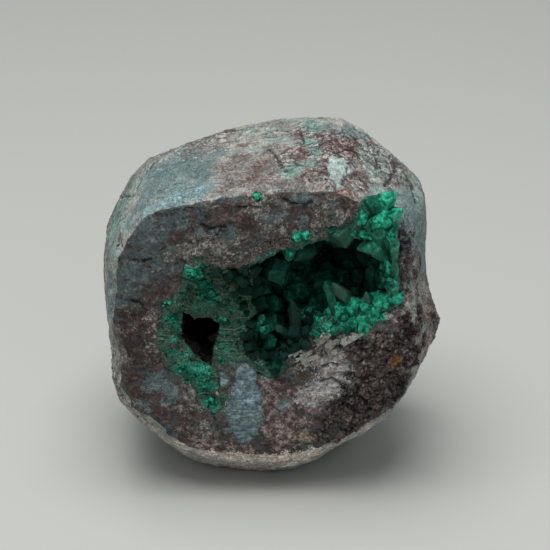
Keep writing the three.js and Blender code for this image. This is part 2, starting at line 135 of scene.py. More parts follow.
# How each mineral looks: whether it lies on the worn skin, on the broken face or on both, its two shades,
# its roughness, the size of its grain in millimetres, how ragged its outline is, how far its coarse and fine
# chips stand out in millimetres, and how strongly dark veins, grit and fine stripes show in it.
LOOK_FIELDS = "on one_shade other_shade roughness grain ragged coarse fine veins grit stripes".split()
MINERAL_LOOKS = {
    "blue_skin": ("skin", (0.105, 0.185, 0.185), (0.215, 0.3, 0.292),
        0.55, 0.45, 0.9, 0.1, 0.07, 0.2, 0.15, 0),
    "beige_bevel": ("skin", (0.33, 0.325, 0.29), (0.24, 0.265, 0.245),
        0.75, 0.8, 0.9, 0.2, 0.1, 0.2, 0.2, 0),
    "granular": ("skin", (0.345, 0.318, 0.295), (0.18, 0.15, 0.137),
        0.85, 0.8, 1.2, 0.22, 0.2, 0.45, 0.45, 0),
    "breccia": ("skin", (0.48, 0.51, 0.47), (0.43, 0.38, 0.36), 0.8, 1.3, 1, 0.24, 0.2, 1, 0.4, 0),
    "maroon_skin": ("skin", (0.15, 0.085, 0.078), (0.27, 0.2, 0.18),
        0.85, 0.8, 1.5, 0.3, 0.22, 0.5, 0.5, 0),
    "turquoise": ("skin", (0.16, 0.32, 0.275), (0.27, 0.4, 0.355), 0.7, 0.8, 1.4, 0.15, 0.12, 0.5, 0.3, 0),
    "mauve": ("skin", (0.42, 0.345, 0.335), (0.21, 0.145, 0.14), 0.85, 0.8, 1.3, 0.3, 0.22, 1, 0.4, 0),
    "teal_clasts": ("skin", (0.43, 0.5, 0.465), (0.26, 0.32, 0.29), 0.7, 0.8, 1, 0.3, 0.15, 0.9, 0.3, 0),
    "orange_brown": ("skin", (0.38, 0.27, 0.22), (0.2, 0.12, 0.1), 0.8, 0.45, 1.3, 0.3, 0.2, 0.4, 0.4, 0),
    # A paler streak along the crease of the blue slope: a painted highlight.
    "crease_painted_highlight": ("skin", (0.135, 0.235, 0.25), (0.27, 0.385, 0.4),
        0.45, 0.45, 0.9, 0.05, 0.07, 0.1, 0.3, 0),
    "pale_patch": ("skin", (0.37, 0.46, 0.435), (0.45, 0.53, 0.5),
        0.6, 0.45, 0.15, 0.05, 0.05, 0.1, 0.15, 0),
    "front_blue": ("broken", (0.08, 0.115, 0.119), (0.12, 0.155, 0.157),
        0.62, 0.8, 0.9, 0.14, 0.1, 0.2, 0.2, 0.2),
    "front_maroon": ("broken", (0.066, 0.041, 0.039), (0.12, 0.085, 0.078),
        0.85, 0.8, 1.2, 0.25, 0.2, 0.3, 0.4, 0),
    "front_spots": ("broken", (0.12, 0.165, 0.175), (0.165, 0.215, 0.222),
        0.6, 0.45, 1, 0.12, 0.1, 0.2, 0.25, 0),
    "deep_maroon": ("broken", (0.042, 0.027, 0.026), (0.08, 0.055, 0.051),
        0.85, 0.8, 1, 0.22, 0.16, 0.2, 0.3, 0),
    "front_grey": ("broken", (0.33, 0.32, 0.285), (0.13, 0.115, 0.105),
        0.9, 1.3, 1.2, 0.4, 0.26, 0.4, 0.2, 0),
    "bottom_granular": ("broken", (0.37, 0.3, 0.28), (0.12, 0.074, 0.072),
        0.85, 1.3, 1, 0.3, 0.24, 0.3, 0.2, 0),
    "rubble": ("both", (0.225, 0.168, 0.153), (0.068, 0.053, 0.049), 0.92, 0.8, 0.6, 1, 0.6, 0.35, 0.45, 0),
    "pink_pale": ("broken", (0.62, 0.6, 0.58), (0.41, 0.375, 0.36),
        0.6, 0.8, 0.6, 0.4, 0.14, 0.25, 0.15, 0.7),
    "silky_blue": ("broken", (0.138, 0.222, 0.242), (0.245, 0.345, 0.368),
        0.36, 0.8, 0.25, 0.22, 0.06, 0.1, 0.08, 0.9),
    "pale_lip": ("broken", (0.42, 0.4, 0.37), (0.22, 0.2, 0.185), 0.7, 0.45, 1, 0.6, 0.3, 0.4, 0.3, 0.4),
    "pale_skin_low": ("both", (0.26, 0.32, 0.31), (0.15, 0.165, 0.15),
        0.7, 0.45, 0.9, 0.3, 0.2, 0.4, 0.3, 0),
    "lower_right": ("both", (0.11, 0.066, 0.064), (0.225, 0.18, 0.168),
        0.85, 0.8, 1.2, 0.45, 0.3, 0.6, 0.4, 0),
    "dark_speckle": ("both", (0.03, 0.034, 0.036), (0.115, 0.13, 0.128),
        0.8, 0.45, 1.2, 0.4, 0.3, 0.5, 0.6, 0),
    "green_stain": ("broken", (0.026, 0.11, 0.08), (0.09, 0.15, 0.135),
        0.5, 0.45, 1.3, 0.35, 0.3, 0.6, 0.4, 0),
    "chip_pale": ("both", (0.25, 0.22, 0.205), (0.15, 0.13, 0.125), 0.8, 0.8, 0.5, 0.2, 0.15, 0.2, 0.3, 0),
    # The downward-facing chamfer and bottom edge are beige, and painted lighter still as painted light from
    # below.
    "chamfer_beige_painted_light": ("skin", (0.52, 0.475, 0.43), (0.34, 0.32, 0.29),
        0.6, 0.8, 0.6, 0.12, 0.05, 0.15, 0.15, 0.2),
    "bottom_edge_painted_light": ("both", (0.86, 0.77, 0.69), (0.58, 0.5, 0.45),
        0.6, 0.8, 0.6, 0.12, 0.05, 0.15, 0.15, 0.3),
    "yellow_spot": ("broken", (0.38, 0.34, 0.22), (0.24, 0.2, 0.13), 0.8, 0.45, 1.1, 0.3, 0.2, 0.2, 0.4, 0),
    "orange_spot": ("both", (0.34, 0.135, 0.035), (0.22, 0.1, 0.04), 0.8, 0.45, 0.6, 0.3, 0.2, 0, 0.2, 0),
    "mauve_spot": ("broken", (0.3, 0.2, 0.225), (0.2, 0.13, 0.15), 0.8, 0.45, 0.9, 0.3, 0.2, 0.2, 0.3, 0),
    # Small pits painted near black: painted shade in them.
    "pits_painted_shade": ("both", (0.012, 0.011, 0.01), (0.006, 0.005, 0.005), 0.95, 0.45, 0.7, 0.4, 0.4, 0, 0, 0),
}

# Where each mineral lies: the middle and the reach of each of its spots, in millimetres.
MINERAL_SPOTS = {
    "blue_skin": [
        (-24.6, -0.9, 73.6, 5.4), (-19.6, 1, 74.7, 5.4), (-15.3, -7.5, 76.2, 4.6),
        (-25.9, -10.6, 73.8, 3.7), (-20.5, -17.1, 76, 3.5), (-14.4, -1.5, 75.6, 2.4),
        (-27.6, -16.6, 73, 2.2), (-30, -15.5, 70.8, 1.6), (-31.2, -17.1, 69.1, 1.6),
        (-32.7, -19.5, 67.4, 1.1), (-36.7, -13.2, 59.1, 1.6), (-36.5, -17.7, 57.4, 1.6),
        (-36.2, -19.6, 54.4, 1.6), (-36.3, -20.8, 51, 1.6), (-36.1, -21, 48, 1.1), (-11.6, 5.5, 75.4, 1.9),
        (31.4, -9.4, 70.2, 3.2), (30.1, -16.7, 70.1, 2.6), (32.3, -15.1, 66.9, 2.4),
        (33, -15.1, 63.1, 1.9), (28.5, -12.3, 72.6, 2.2), (34.3, -6.7, 67.7, 1.7),
        (-16.3, -16.9, 76.8, 2.2), (18.5, 10.9, 77.4, 2.2), (13.3, 9.4, 79.4, 1.7), (18.6, 23.5, 59.9, 11),
        (-22, 25.1, 25.2, 10), (9.6, 22.4, 12.4, 9), (35.4, 2.1, 57.9, 10), (-38.7, 6, 44, 10),
        (-27.7, 17.5, 67.1, 8)],
    "beige_bevel": [
        (-27.6, 9, 71.5, 2.1), (-29.9, 8.3, 69.8, 2.1), (-32.4, 9.8, 66.5, 2.5), (-33.8, 8.7, 64, 2.1),
        (-34.8, 5.5, 62.4, 2.1), (-36, 1.4, 60.8, 2.1), (-36.4, -3.8, 59.9, 1.4), (-23.5, 11.3, 72.7, 1.8),
        (-18.9, 13, 73.7, 1.8), (-14.4, 16.4, 73.9, 1.8), (-0.4, 18.5, 76.5, 2.5), (3.1, 14.9, 77.7, 2.5),
        (6.1, 14, 78.3, 2.1), (-9.2, 15.8, 75.2, 1.6), (30.6, 6.9, 70.4, 1.6)],
    "granular": [
        (-8.9, -5.7, 77.1, 3.5), (-5.8, -15.4, 78.5, 3.8), (-9.6, -15.3, 78, 2.6), (-2.1, -9, 78.7, 3.5),
        (-0.3, -17.7, 79.1, 3.4), (-3.6, -21.9, 78.8, 2.6), (2.9, -20.6, 79.3, 2.9), (6.2, -21, 79.8, 2.6),
        (9.4, -21.6, 79.6, 2.2), (-7.1, -2, 77.1, 2.6), (1.4, -7.1, 79, 2.3), (-0.4, -0.1, 78.2, 2.1),
        (13.7, -22.6, 79.1, 1.7), (-10.1, -20.1, 77.9, 2), (11.6, -22.8, 79.2, 1.7), (-5, 23.3, 14.3, 10),
        (29.1, 16.5, 59.2, 8), (30.4, -1.9, 21, 9), (-37.4, 13.9, 26, 9), (-20.1, 26.5, 40, 7)],
    "breccia": [
        (10.8, -4, 80, 4.9), (16.5, -1, 78.6, 4.1), (22.3, 2.8, 75.6, 4.1), (6.3, -6.4, 79.9, 3.1),
        (27.4, 3.5, 72.8, 3.7), (15, -17.1, 78.9, 3.1), (19.5, -13.6, 77.2, 2.2), (29.5, -1.1, 71.7, 2),
        (8.7, 5.9, 79.2, 2.7), (3, -7.9, 79.4, 2.2), (-15, 26.1, 62, 12), (23.7, 22.8, 35, 11),
        (-32.1, 20.5, 44.8, 9), (35.6, 10.1, 30.5, 10), (-36.7, -6, 22.7, 9)],
    "maroon_skin": [
        (-3, -11.9, 78.8, 1.7), (-3.8, -15.9, 78.8, 1.4), (-1.9, -7.1, 78.5, 1.2), (6.2, 7.5, 78.7, 1.8),
        (6.8, -5.9, 79.9, 1.4), (8.9, -15.1, 80.3, 2), (10.6, -15.4, 80.2, 1.4), (7.6, -13.8, 80.2, 1.4),
        (16.1, 0.9, 78.8, 1.2), (19.4, 3, 77.3, 1.2), (28.1, 8, 71.9, 1.2), (28, 1.3, 72.6, 1.2),
        (27.5, -4.1, 72.6, 1.2), (25.5, -8.9, 74, 1.2), (20.2, -11.9, 76.9, 1.2), (33.1, 8.1, 68.1, 0.9),
        (17.3, -11, 78.4, 0.9), (14.2, -2.6, 79.4, 0.9), (3.7, -1.8, 79, 0.9), (-0.7, 23.9, 41.8, 6),
        (-8.4, 24.9, 30.1, 7), (25.9, 21, 20.2, 7), (38.2, -5.1, 39.7, 6), (-36.4, 11.5, 58.9, 6),
        (12, 24.8, 66.1, 5)],
    "turquoise": [
        (9, 12.9, 78.8, 1.8), (10.1, 9.6, 79, 1.4), (11.5, 10.6, 79.1, 1.2), (6.3, -11.5, 80.1, 1.4),
        (8.5, -11.2, 80.2, 1.4), (4.5, -14.2, 79.9, 1.4), (3.8, -15.8, 79.7, 1.2), (10.4, -3.9, 80, 1.2),
        (-1.7, 0.6, 77.9, 0.8), (9.1, 0.6, 79.6, 1.2), (7.5, -1, 79.6, 0.9), (-26.2, 25.6, 52, 6),
        (4.8, 25.1, 66.2, 6), (14.6, 22.9, 25.1, 7), (34.2, 10.4, 62.6, 6), (-35, -1.7, 62.5, 5),
        (30.7, 13, 19.4, 6)],
    "mauve": [
        (13.2, 2.2, 79.6, 2.3), (16, 5, 78.6, 2.1), (19, 6.6, 77.4, 1.8), (14.4, -1.9, 79.3, 1.7),
        (17.6, -0.8, 78, 1.4), (11.8, -9.5, 80.1, 1.2), (12, -13.5, 80.1, 1.2), (17.7, -13.6, 78.1, 1.2),
        (7.7, 22.8, 52.4, 6), (-36.8, 14.9, 45.7, 5), (35.5, 13.5, 45.8, 5)],
    "teal_clasts": [
        (21.8, 1.7, 75.9, 1.8), (22.1, -4, 75.6, 1.7), (25.3, 3.6, 74, 2.1), (25.6, -1.2, 73.7, 1.8),
        (23.8, -6.2, 74.6, 1.4), (22.7, -11.6, 75.5, 1.2), (21.6, 7.7, 75.9, 1.4), (24.5, 10.6, 74.1, 1.2),
        (29.7, -0.8, 71.6, 1.8), (26.5, -11.3, 73.6, 1.4), (17.5, -6.9, 78.2, 0.9),
        (16.2, -12, 78.8, 0.9)],
    "orange_brown": [
        (16.8, -20.8, 78.2, 1.4), (15.9, -22.6, 78.1, 1.2), (17.9, -22.4, 77.3, 1.2),
        (6.3, -3.2, 79.6, 0.9), (7, -8.4, 80.1, 0.8), (20, -9.9, 76.9, 0.8), (23.1, 11.9, 74.7, 0.9)],
    # The painted highlight along the crease of the blue slope.
    "crease_painted_highlight": [
        (-14.5, -18.6, 77.2, 1.7), (-16.7, -19.1, 76.7, 1.7), (-18.9, -19.9, 76.3, 1.7),
        (-21, -20.9, 75.9, 1.5), (-23.2, -21.6, 75.2, 1.3), (-25.4, -21.8, 74.4, 1.3),
        (-27.4, -21.9, 73.2, 1.1), (-29.2, -21.7, 71.4, 1.1), (-31, -21.4, 68.8, 0.9)],
    "pale_patch": [
        (13.8, -9.9, 79.6, 1.7), (15.4, -9.5, 79.1, 1.7), (14.4, -13, 79.3, 2.2), (14.5, -16.1, 79.1, 1.8),
        (14.7, -19.4, 79.2, 1.2), (-4.3, 24.7, 56.2, 4), (33.8, 4.5, 26.5, 4)],
    "front_blue": [
        (-27.6, -23.6, 70.4, 2.6), (-25.4, -23.9, 67.6, 2.9), (-28.7, -23.8, 67.5, 2.2),
        (-26.6, -23.8, 63.9, 2.6), (-30.6, -23.6, 63, 2), (-23.7, -23.9, 68.8, 2),
        (-29.6, -23.6, 59.5, 2.3), (-32.4, -23.3, 56.1, 2.3), (-30.3, -23.2, 53.6, 2.3),
        (-33.6, -23, 52.2, 1.7), (-31.9, -23.1, 50.2, 1.7), (-34.3, -22.9, 47, 1.2),
        (-32.9, -23.4, 59.4, 1.7), (-24.5, -23.7, 62.1, 2), (-27.2, -23.6, 58.8, 1.7),
        (-22.8, -23.7, 60.6, 1.4), (-23.2, -23.7, 71.9, 1.7), (-19.9, -23.5, 73, 1.7),
        (-27.6, -22.2, 73.1, 1.4)],
    "front_maroon": [
        (-6.8, -24.3, 73.9, 2.6), (-9.4, -23.8, 74.9, 2.2), (-4.2, -24.4, 72.2, 2.2),
        (-2.1, -24.4, 70.8, 2), (-10.8, -24.1, 72.1, 1.7), (-32.1, -23.4, 44.8, 2.9),
        (-29.3, -23.4, 47.9, 2.9), (-26.5, -23.5, 52.5, 2.6), (-23.6, -23.6, 55, 2.3),
        (-27.1, -23.7, 45, 2.3), (-32.9, -23.1, 39.5, 2.6), (-30, -23.5, 38.4, 2.6),
        (-27.3, -23.6, 38.5, 2.1), (-34.3, -22.3, 33.8, 2.3), (-31.5, -23.4, 32.4, 2.3),
        (-29.4, -23.7, 28.8, 2.3), (-25.4, -23.9, 23.6, 2.7), (-22.7, -24, 24.3, 2.1),
        (-19.8, -23.9, 22.1, 2.1), (-21.2, -24, 26.9, 1.4), (6.2, -24, 73, 2), (8.8, -24, 72.5, 1.7),
        (10.5, -23.9, 72, 1.4), (17.4, -23.7, 75.3, 2), (18.3, -23.7, 73.6, 1.7), (16.6, -23.4, 76.6, 1.4),
        (-21.3, -23.7, 57.6, 1.4), (-19.6, -23.4, 54.9, 1.2), (-14.5, -23.9, 67.6, 1.4),
        (-17.8, -23.9, 66.4, 1.2), (-21.1, -23.9, 67.6, 1.4), (-2.6, -24, 30.9, 1.8),
        (-5, -23.7, 14.7, 2.3), (-9.6, -23.4, 13.7, 2.1), (-0.4, -23.8, 14.7, 2.3),
        (29.3, -22.3, 55.6, 1.4), (28.3, -22.8, 57.6, 1.4), (31.1, -19.3, 59.8, 1.4),
        (29.2, -23.5, 49.4, 1.4), (27.4, -23.7, 51.1, 1.2), (4, -24, 74.5, 1.4)],
    "front_spots": [
        (-15.8, -23.8, 70.2, 1.4), (-8.6, -24.3, 69, 1.4), (-9.3, -24.2, 68, 1.2),
        (-0.1, -24.3, 73.7, 1.7), (1.2, -24.2, 72.9, 1.2), (6.6, -23.7, 77.7, 1.7),
        (8.5, -23.7, 77.4, 1.4), (-25.4, -23.9, 68.3, 1), (-31.1, -23.4, 40.7, 1.2),
        (-32.1, -23.3, 36.7, 1.4), (-31, -23.5, 37.1, 1.2), (-27, -23.7, 32.5, 1.4),
        (-25.2, -23.8, 30.8, 1.8), (-23, -23.9, 29, 1.8), (-21.7, -24, 28.2, 1.4),
        (-25.9, -23.7, 33.1, 1.2), (-28.2, -23.8, 29.4, 1.2), (-10.5, -23.9, 32.6, 0.9),
        (-10.7, -24.3, 19.1, 1.2), (2.1, -23.8, 25.5, 1.8), (3.7, -23.8, 26.2, 1.2), (5.3, -24, 69.6, 1.2),
        (6.6, -24, 72.1, 1.2), (-24.2, -24, 26.4, 0.9), (-29.9, -23.3, 25.2, 1.2),
        (-28.2, -23.4, 23.3, 1.2), (-10.8, -24, 67.7, 1.2), (-9.5, -24.1, 66, 1.4),
        (-7.8, -24.2, 66.5, 1.2), (-6.9, -24, 64.7, 1.2), (-12.6, -24, 66.9, 1.2)],
    "deep_maroon": [
        (-33.4, -23, 45.9, 2.1), (-31.2, -23.4, 44.8, 2.3), (-29, -23.6, 43.6, 2.3),
        (-32.2, -23.4, 41.7, 2.1), (-29.9, -23.5, 40.7, 2.3), (-27.7, -23.7, 41.1, 1.7),
        (-32.7, -23.1, 38.2, 1.8), (-30.5, -23.5, 37.1, 2.1), (-28.2, -23.6, 37.7, 1.8),
        (-32.9, -23, 48.4, 1.4), (-30.6, -23.3, 47.8, 1.7), (-28.2, -23.6, 46.9, 2.1)],
    "front_grey": [
        (-14.5, -23.9, 66.1, 2.6), (-11.3, -24, 65.2, 2.6), (-8, -24.1, 65.2, 2.2), (-5.8, -24.2, 67, 2),
        (-16.7, -24, 65.2, 1.7), (-0.3, -24.4, 70.3, 1.7), (2.3, -24.1, 70.2, 1.7),
        (4.5, -23.9, 68.6, 1.7), (11.6, -23.9, 72, 2), (12.7, -23.9, 70.5, 1.4), (13.1, -23.8, 74.4, 1.7),
        (10.9, -23.9, 75.4, 1.7), (14.9, -23.8, 73.7, 1.2), (-19.2, -24, 29, 2.1), (-17.4, -24, 26.9, 1.8),
        (-18, -23.9, 30, 1.4), (-15.8, -23.4, 25.5, 1.2), (-20.8, -24, 24.3, 1.2),
        (-18.2, -23.9, 18.9, 1.8), (-15.7, -24, 18.4, 1.8), (-13.4, -23.9, 17.3, 1.4),
        (-22.3, -23.8, 63.1, 1.4), (-19.6, -24, 64.4, 1.4), (-25.2, -23.6, 52.5, 0.9),
        (-27, -23.6, 48.7, 1.4), (-26, -23.8, 45, 1.7), (-25.4, -23.8, 41.1, 1.4),
        (-27.2, -23.7, 41.1, 1.2), (-2.5, -24.2, 76.3, 1.7), (-12.3, -23.3, 75.8, 1.4),
        (1.8, -23.9, 76.6, 1.7), (-5.7, -23.9, 76.1, 1.2)],
    "bottom_granular": [
        (-0.4, -24, 26.9, 2.3), (-2.2, -24.4, 24, 2.3), (0.8, -24.1, 22.2, 2.7), (4.2, -24, 22.1, 2.3),
        (3, -24, 18.4, 2.7), (-0.8, -24.4, 18.6, 2.3), (6, -24, 25.6, 1.8), (6.4, -24, 21.6, 1.8),
        (7.6, -23.7, 16.6, 1.8), (-3.1, -24.3, 28.4, 1.4), (-3.8, -24.7, 20.7, 1.8),
        (4.6, -23.9, 16.1, 2.1), (1.9, -23.8, 14.7, 1.8), (-17.4, -23.6, 16, 2.1),
        (-14.2, -23.6, 14.6, 2.1), (-10.7, -23.5, 14, 1.8), (-20.5, -23.8, 19.3, 1.4),
        (-0.8, -23.8, 30.8, 1.4), (1.4, -23.8, 29.9, 1.4), (3.7, -23.8, 28.9, 1.4), (6, -24, 30.1, 1.2),
        (-6.1, -23.5, 13.7, 1.6)],
    "rubble": [
        (20.9, -25.2, 40.6, 3), (25.3, -24.5, 41.6, 3.4), (29.8, -23.6, 43.6, 3.2), (33.4, -19.7, 44, 2.5),
        (27.7, -24.5, 36.4, 4), (23.2, -25.2, 34.2, 3.7), (32.3, -22.1, 37.6, 3), (20, -24.2, 28.3, 3.7),
        (24.6, -23.8, 26.8, 3.7), (15.5, -23.9, 24.2, 2.8), (17.9, -23.3, 19.8, 3),
        (13.3, -23.8, 20.1, 2.3), (29, -23.4, 30.5, 3), (34.7, -17.8, 39, 2.2), (11.5, -23.6, 17.3, 1.8),
        (20.1, -23.3, 22.5, 3), (16.6, -24, 28.3, 2), (17.6, -25, 34.1, 1.2), (36.9, -11.2, 41, 1.8),
        (29.7, -23.5, 47.4, 2), (33.3, -18.3, 47.1, 1.5), (23.3, -24.5, 44.1, 1.2),
        (14.6, -22.1, 15, 1.5)],
    "pink_pale": [
        (12.6, -24.7, 38.3, 2.1), (11.3, -24.5, 35.6, 2.3), (13.6, -24.6, 34.6, 2.6),
        (14.9, -24.7, 32.6, 2.3), (12, -24.4, 31.4, 2.6), (9.8, -24.3, 29.2, 2.6),
        (12.1, -24.4, 28.5, 2.3), (9.1, -24.2, 26.5, 2.3), (7.1, -24.1, 28, 1.8), (15.8, -24.9, 35.8, 1.7),
        (15.3, -25, 39.3, 1.4), (9.8, -24.2, 24.4, 1.4), (14.3, -24.4, 29.3, 1.8)],
    "silky_blue": [
        (-4.7, -23.9, 33.7, 2.1), (-5.1, -23.9, 32.1, 2.5), (-5.6, -24.1, 30.1, 3), (-6, -24.4, 27.7, 3.5),
        (-6.3, -24.8, 25.3, 3.5), (-6.5, -24.9, 22.7, 3.5), (-6.5, -24.5, 19.8, 3.1),
        (-6.6, -24.2, 17.4, 2.3), (-11.2, -23.9, 33.4, 0.9), (-11.2, -23.9, 31.8, 0.9)],
    "pale_lip": [
        (-12.4, -20.8, 32.1, 0.9), (-12.4, -21.2, 30, 0.9), (-12.6, -24, 29, 0.9),
        (-11.8, -23.8, 35.7, 0.9), (7.3, -24.3, 38.1, 1.4), (9.5, -24.2, 38.6, 1.2),
        (11.3, -24.5, 39.5, 1.2), (10.8, -24.4, 42.8, 1.4), (12.5, -26.3, 45.1, 1.4),
        (13.9, -24.9, 43.1, 1.2), (16.6, -24.9, 43.1, 1.2), (18.4, -24.8, 43.5, 1.2), (6.4, -24, 40, 0.9),
        (4.6, -23.7, 36.7, 0.9), (20.8, -24.7, 44.7, 0.9), (25.9, -24.1, 48.7, 1.2),
        (27.4, -23.7, 49.1, 1.2), (5.7, -24.2, 36, 0.9), (28.7, -23.6, 50.2, 0.9)],
    "pale_skin_low": [
        (34.8, -9.6, 45.1, 1.2), (32.3, -19, 50.5, 1.2), (36.7, -6.5, 42.7, 0.9), (30.9, -20.3, 56.5, 1.2),
        (31.2, -20.2, 54.7, 0.9), (30.7, -20.4, 58.4, 0.9)],
    "lower_right": [
        (30.6, -19.9, 60.6, 2.2), (29.5, -21.8, 57.8, 2.2), (32, -18.2, 55.9, 2), (33.2, -15.2, 56.9, 1.8),
        (30.1, -19.7, 63.5, 1.4), (28.3, -22.2, 61.3, 1.4), (29.6, -22.3, 53.8, 1.8),
        (32.8, -17.1, 52, 1.4), (29.1, -20.1, 66.7, 1.4), (30.1, -19.3, 64.7, 1.4)],
    "dark_speckle": [
        (28.6, -20.6, 67.4, 2), (29.9, -19.4, 65.3, 2.3), (29.1, -20.9, 64.3, 2), (28.7, -21.5, 62.9, 1.4),
        (28.2, 4.6, 72.3, 0.9), (-21.5, -21, 42.2, 1.4), (-20.2, -21.1, 39.6, 1.2),
        (-23.6, -23.6, 45.7, 1.2), (-24.8, -23.8, 48.1, 0.9)],
    "green_stain": [
        (-22.3, -20.9, 47.2, 1.4), (-23, -23.7, 51.3, 1.2), (-23.4, -21.4, 45.7, 1.2),
        (-23.8, -24.5, 41.6, 1.2), (-22.4, -22.3, 38.5, 1.2), (-19.6, -21.7, 35.5, 1.2),
        (-20.8, -23.4, 52.4, 1.2), (-18.9, -23.5, 33.2, 1.4), (-14, -23.4, 27.9, 1.2),
        (-18.9, -23.4, 56.2, 0.9), (-11.2, -23.4, 37.1, 1.2), (-3.1, -24.7, 36.2, 1.2),
        (-1.3, -23.6, 34, 0.9)],
    "chip_pale": [
        (-34.6, -22.9, 44.5, 1.4), (-34.4, -22.8, 41.9, 1.4), (-34.1, -22.4, 39.1, 1.4),
        (-33.7, -22.4, 36.4, 1.4), (-34.3, -22.3, 33.8, 1.2), (-35.5, -19.4, 30, 1.2),
        (-33.7, -17.9, 65.3, 1.2), (-33.1, -21.1, 65.5, 0.9)],
    # The beige chamfer, lightened with painted light from below.
    "chamfer_beige_painted_light": [
        (-35.3, -18, 24.3, 2.1), (-33.2, -17.1, 20.6, 2.1), (-30.6, -15.7, 16.5, 2.5),
        (-27.9, -16.1, 14, 2.5), (-24.8, -17.6, 12.2, 2.5), (-22, -15.4, 8.3, 2.5),
        (-18.7, -15.1, 5.9, 2.7), (-14.5, -16.1, 5.1, 2.7), (-10.3, -17, 5.2, 2.7),
        (-6.3, -16.8, 4.5, 2.7), (-2.3, -18.2, 5.4, 2.7), (1.9, -18.9, 6.1, 2.7), (5.8, -21.1, 9.4, 2.5),
        (9.3, -20.6, 10, 2.5), (12.8, -20.3, 11.7, 2.1), (16.2, -20.3, 13.3, 1.8), (19.2, -21, 16, 1.8),
        (21.2, -21.1, 17.6, 1.6), (-32.2, -22.5, 26, 1.2), (-15.5, -20.3, 9.8, 1.6), (-7.4, -20.9, 9, 1.6),
        (3.1, -21.4, 9.4, 1.6)],
    # The beige bottom edge, lightened with painted light from below.
    "bottom_edge_painted_light": [
        (20.9, -13.8, 11.1, 2.1), (22.3, -17.6, 15.2, 1.8), (9, -15.3, 4.9, 2.4), (5.7, -17.3, 5.4, 2.4),
        (-20.1, -20.5, 12.1, 2.1), (-17, -21.1, 11.4, 2.4), (-13.8, -21.6, 10.9, 2.4),
        (-10.6, -21.3, 10.1, 2.4), (-7.3, -21.5, 10, 2.4), (-3.9, -21.9, 10, 2.4), (-0.4, -21.7, 9.6, 2.4),
        (3.1, -21.8, 9.9, 2.4), (6.1, -21.4, 9.9, 2.4), (9.3, -21.3, 11, 2.4)],
    "yellow_spot": [
        (7.2, -23.8, 16.9, 1.2), (8.1, -23.8, 18.3, 0.9)],
    "orange_spot": [
        (27.7, -24.3, 37.3, 1), (28.6, -24, 37.4, 0.8)],
    "mauve_spot": [
        (9.6, -24.1, 24.1, 1.2), (10.7, -24.2, 24.6, 0.9), (26.8, -24, 48.2, 1.2), (3.5, -24, 24.3, 0.9)],
    # Small pits painted near black: painted shade in them.
    "pits_painted_shade": [
        (-12.6, 1, 75.7, 0.4), (8.8, -19.8, 79.9, 0.4), (11.9, -18.5, 79.8, 0.4), (6.2, -18.4, 79.9, 0.2),
        (-33.9, -19.6, 64.2, 0.7), (-33, -22.4, 64.9, 0.5), (1.6, -21.5, 79, 0.2), (5.3, -20.4, 79.7, 0.2),
        (-2.2, -0.6, 78, 0.4), (2.5, -20, 79.3, 0.2), (4.2, -18.8, 79.7, 0.2)],
}
MINERALS = {name: dict(zip(LOOK_FIELDS, look), at=MINERAL_SPOTS[name])
            for name, look in MINERAL_LOOKS.items()}
# On the flat worn top a spot spreads this much further from front to back.
SKIN_SPREAD = 1.9

# The narrow pocket left of the hollow, empty and painted black as painted shade: the middle of its smooth
# mouth in the solid, half the size and the slant of that, and its real ragged outline, all across and up.
POCKET_MIDDLE = np.array((-16.25, 41.6))
POCKET_HALF = np.array((5.0, 7.2))
POCKET_SLANT = math.radians(25)
POCKET_MIDWAY = -10
POCKET_OUTLINE = np.array([
    (-20.1, 47.8), (-18.3, 46.9), (-17.4, 45.6), (-14.5, 45.8), (-11.8, 44.3), (-11.4, 42.9), (-13.0, 38.1),
    (-13.5, 35.1), (-15.3, 35.4), (-17.9, 38.5), (-20.2, 40.7), (-20.6, 44.2)]) - POCKET_MIDDLE

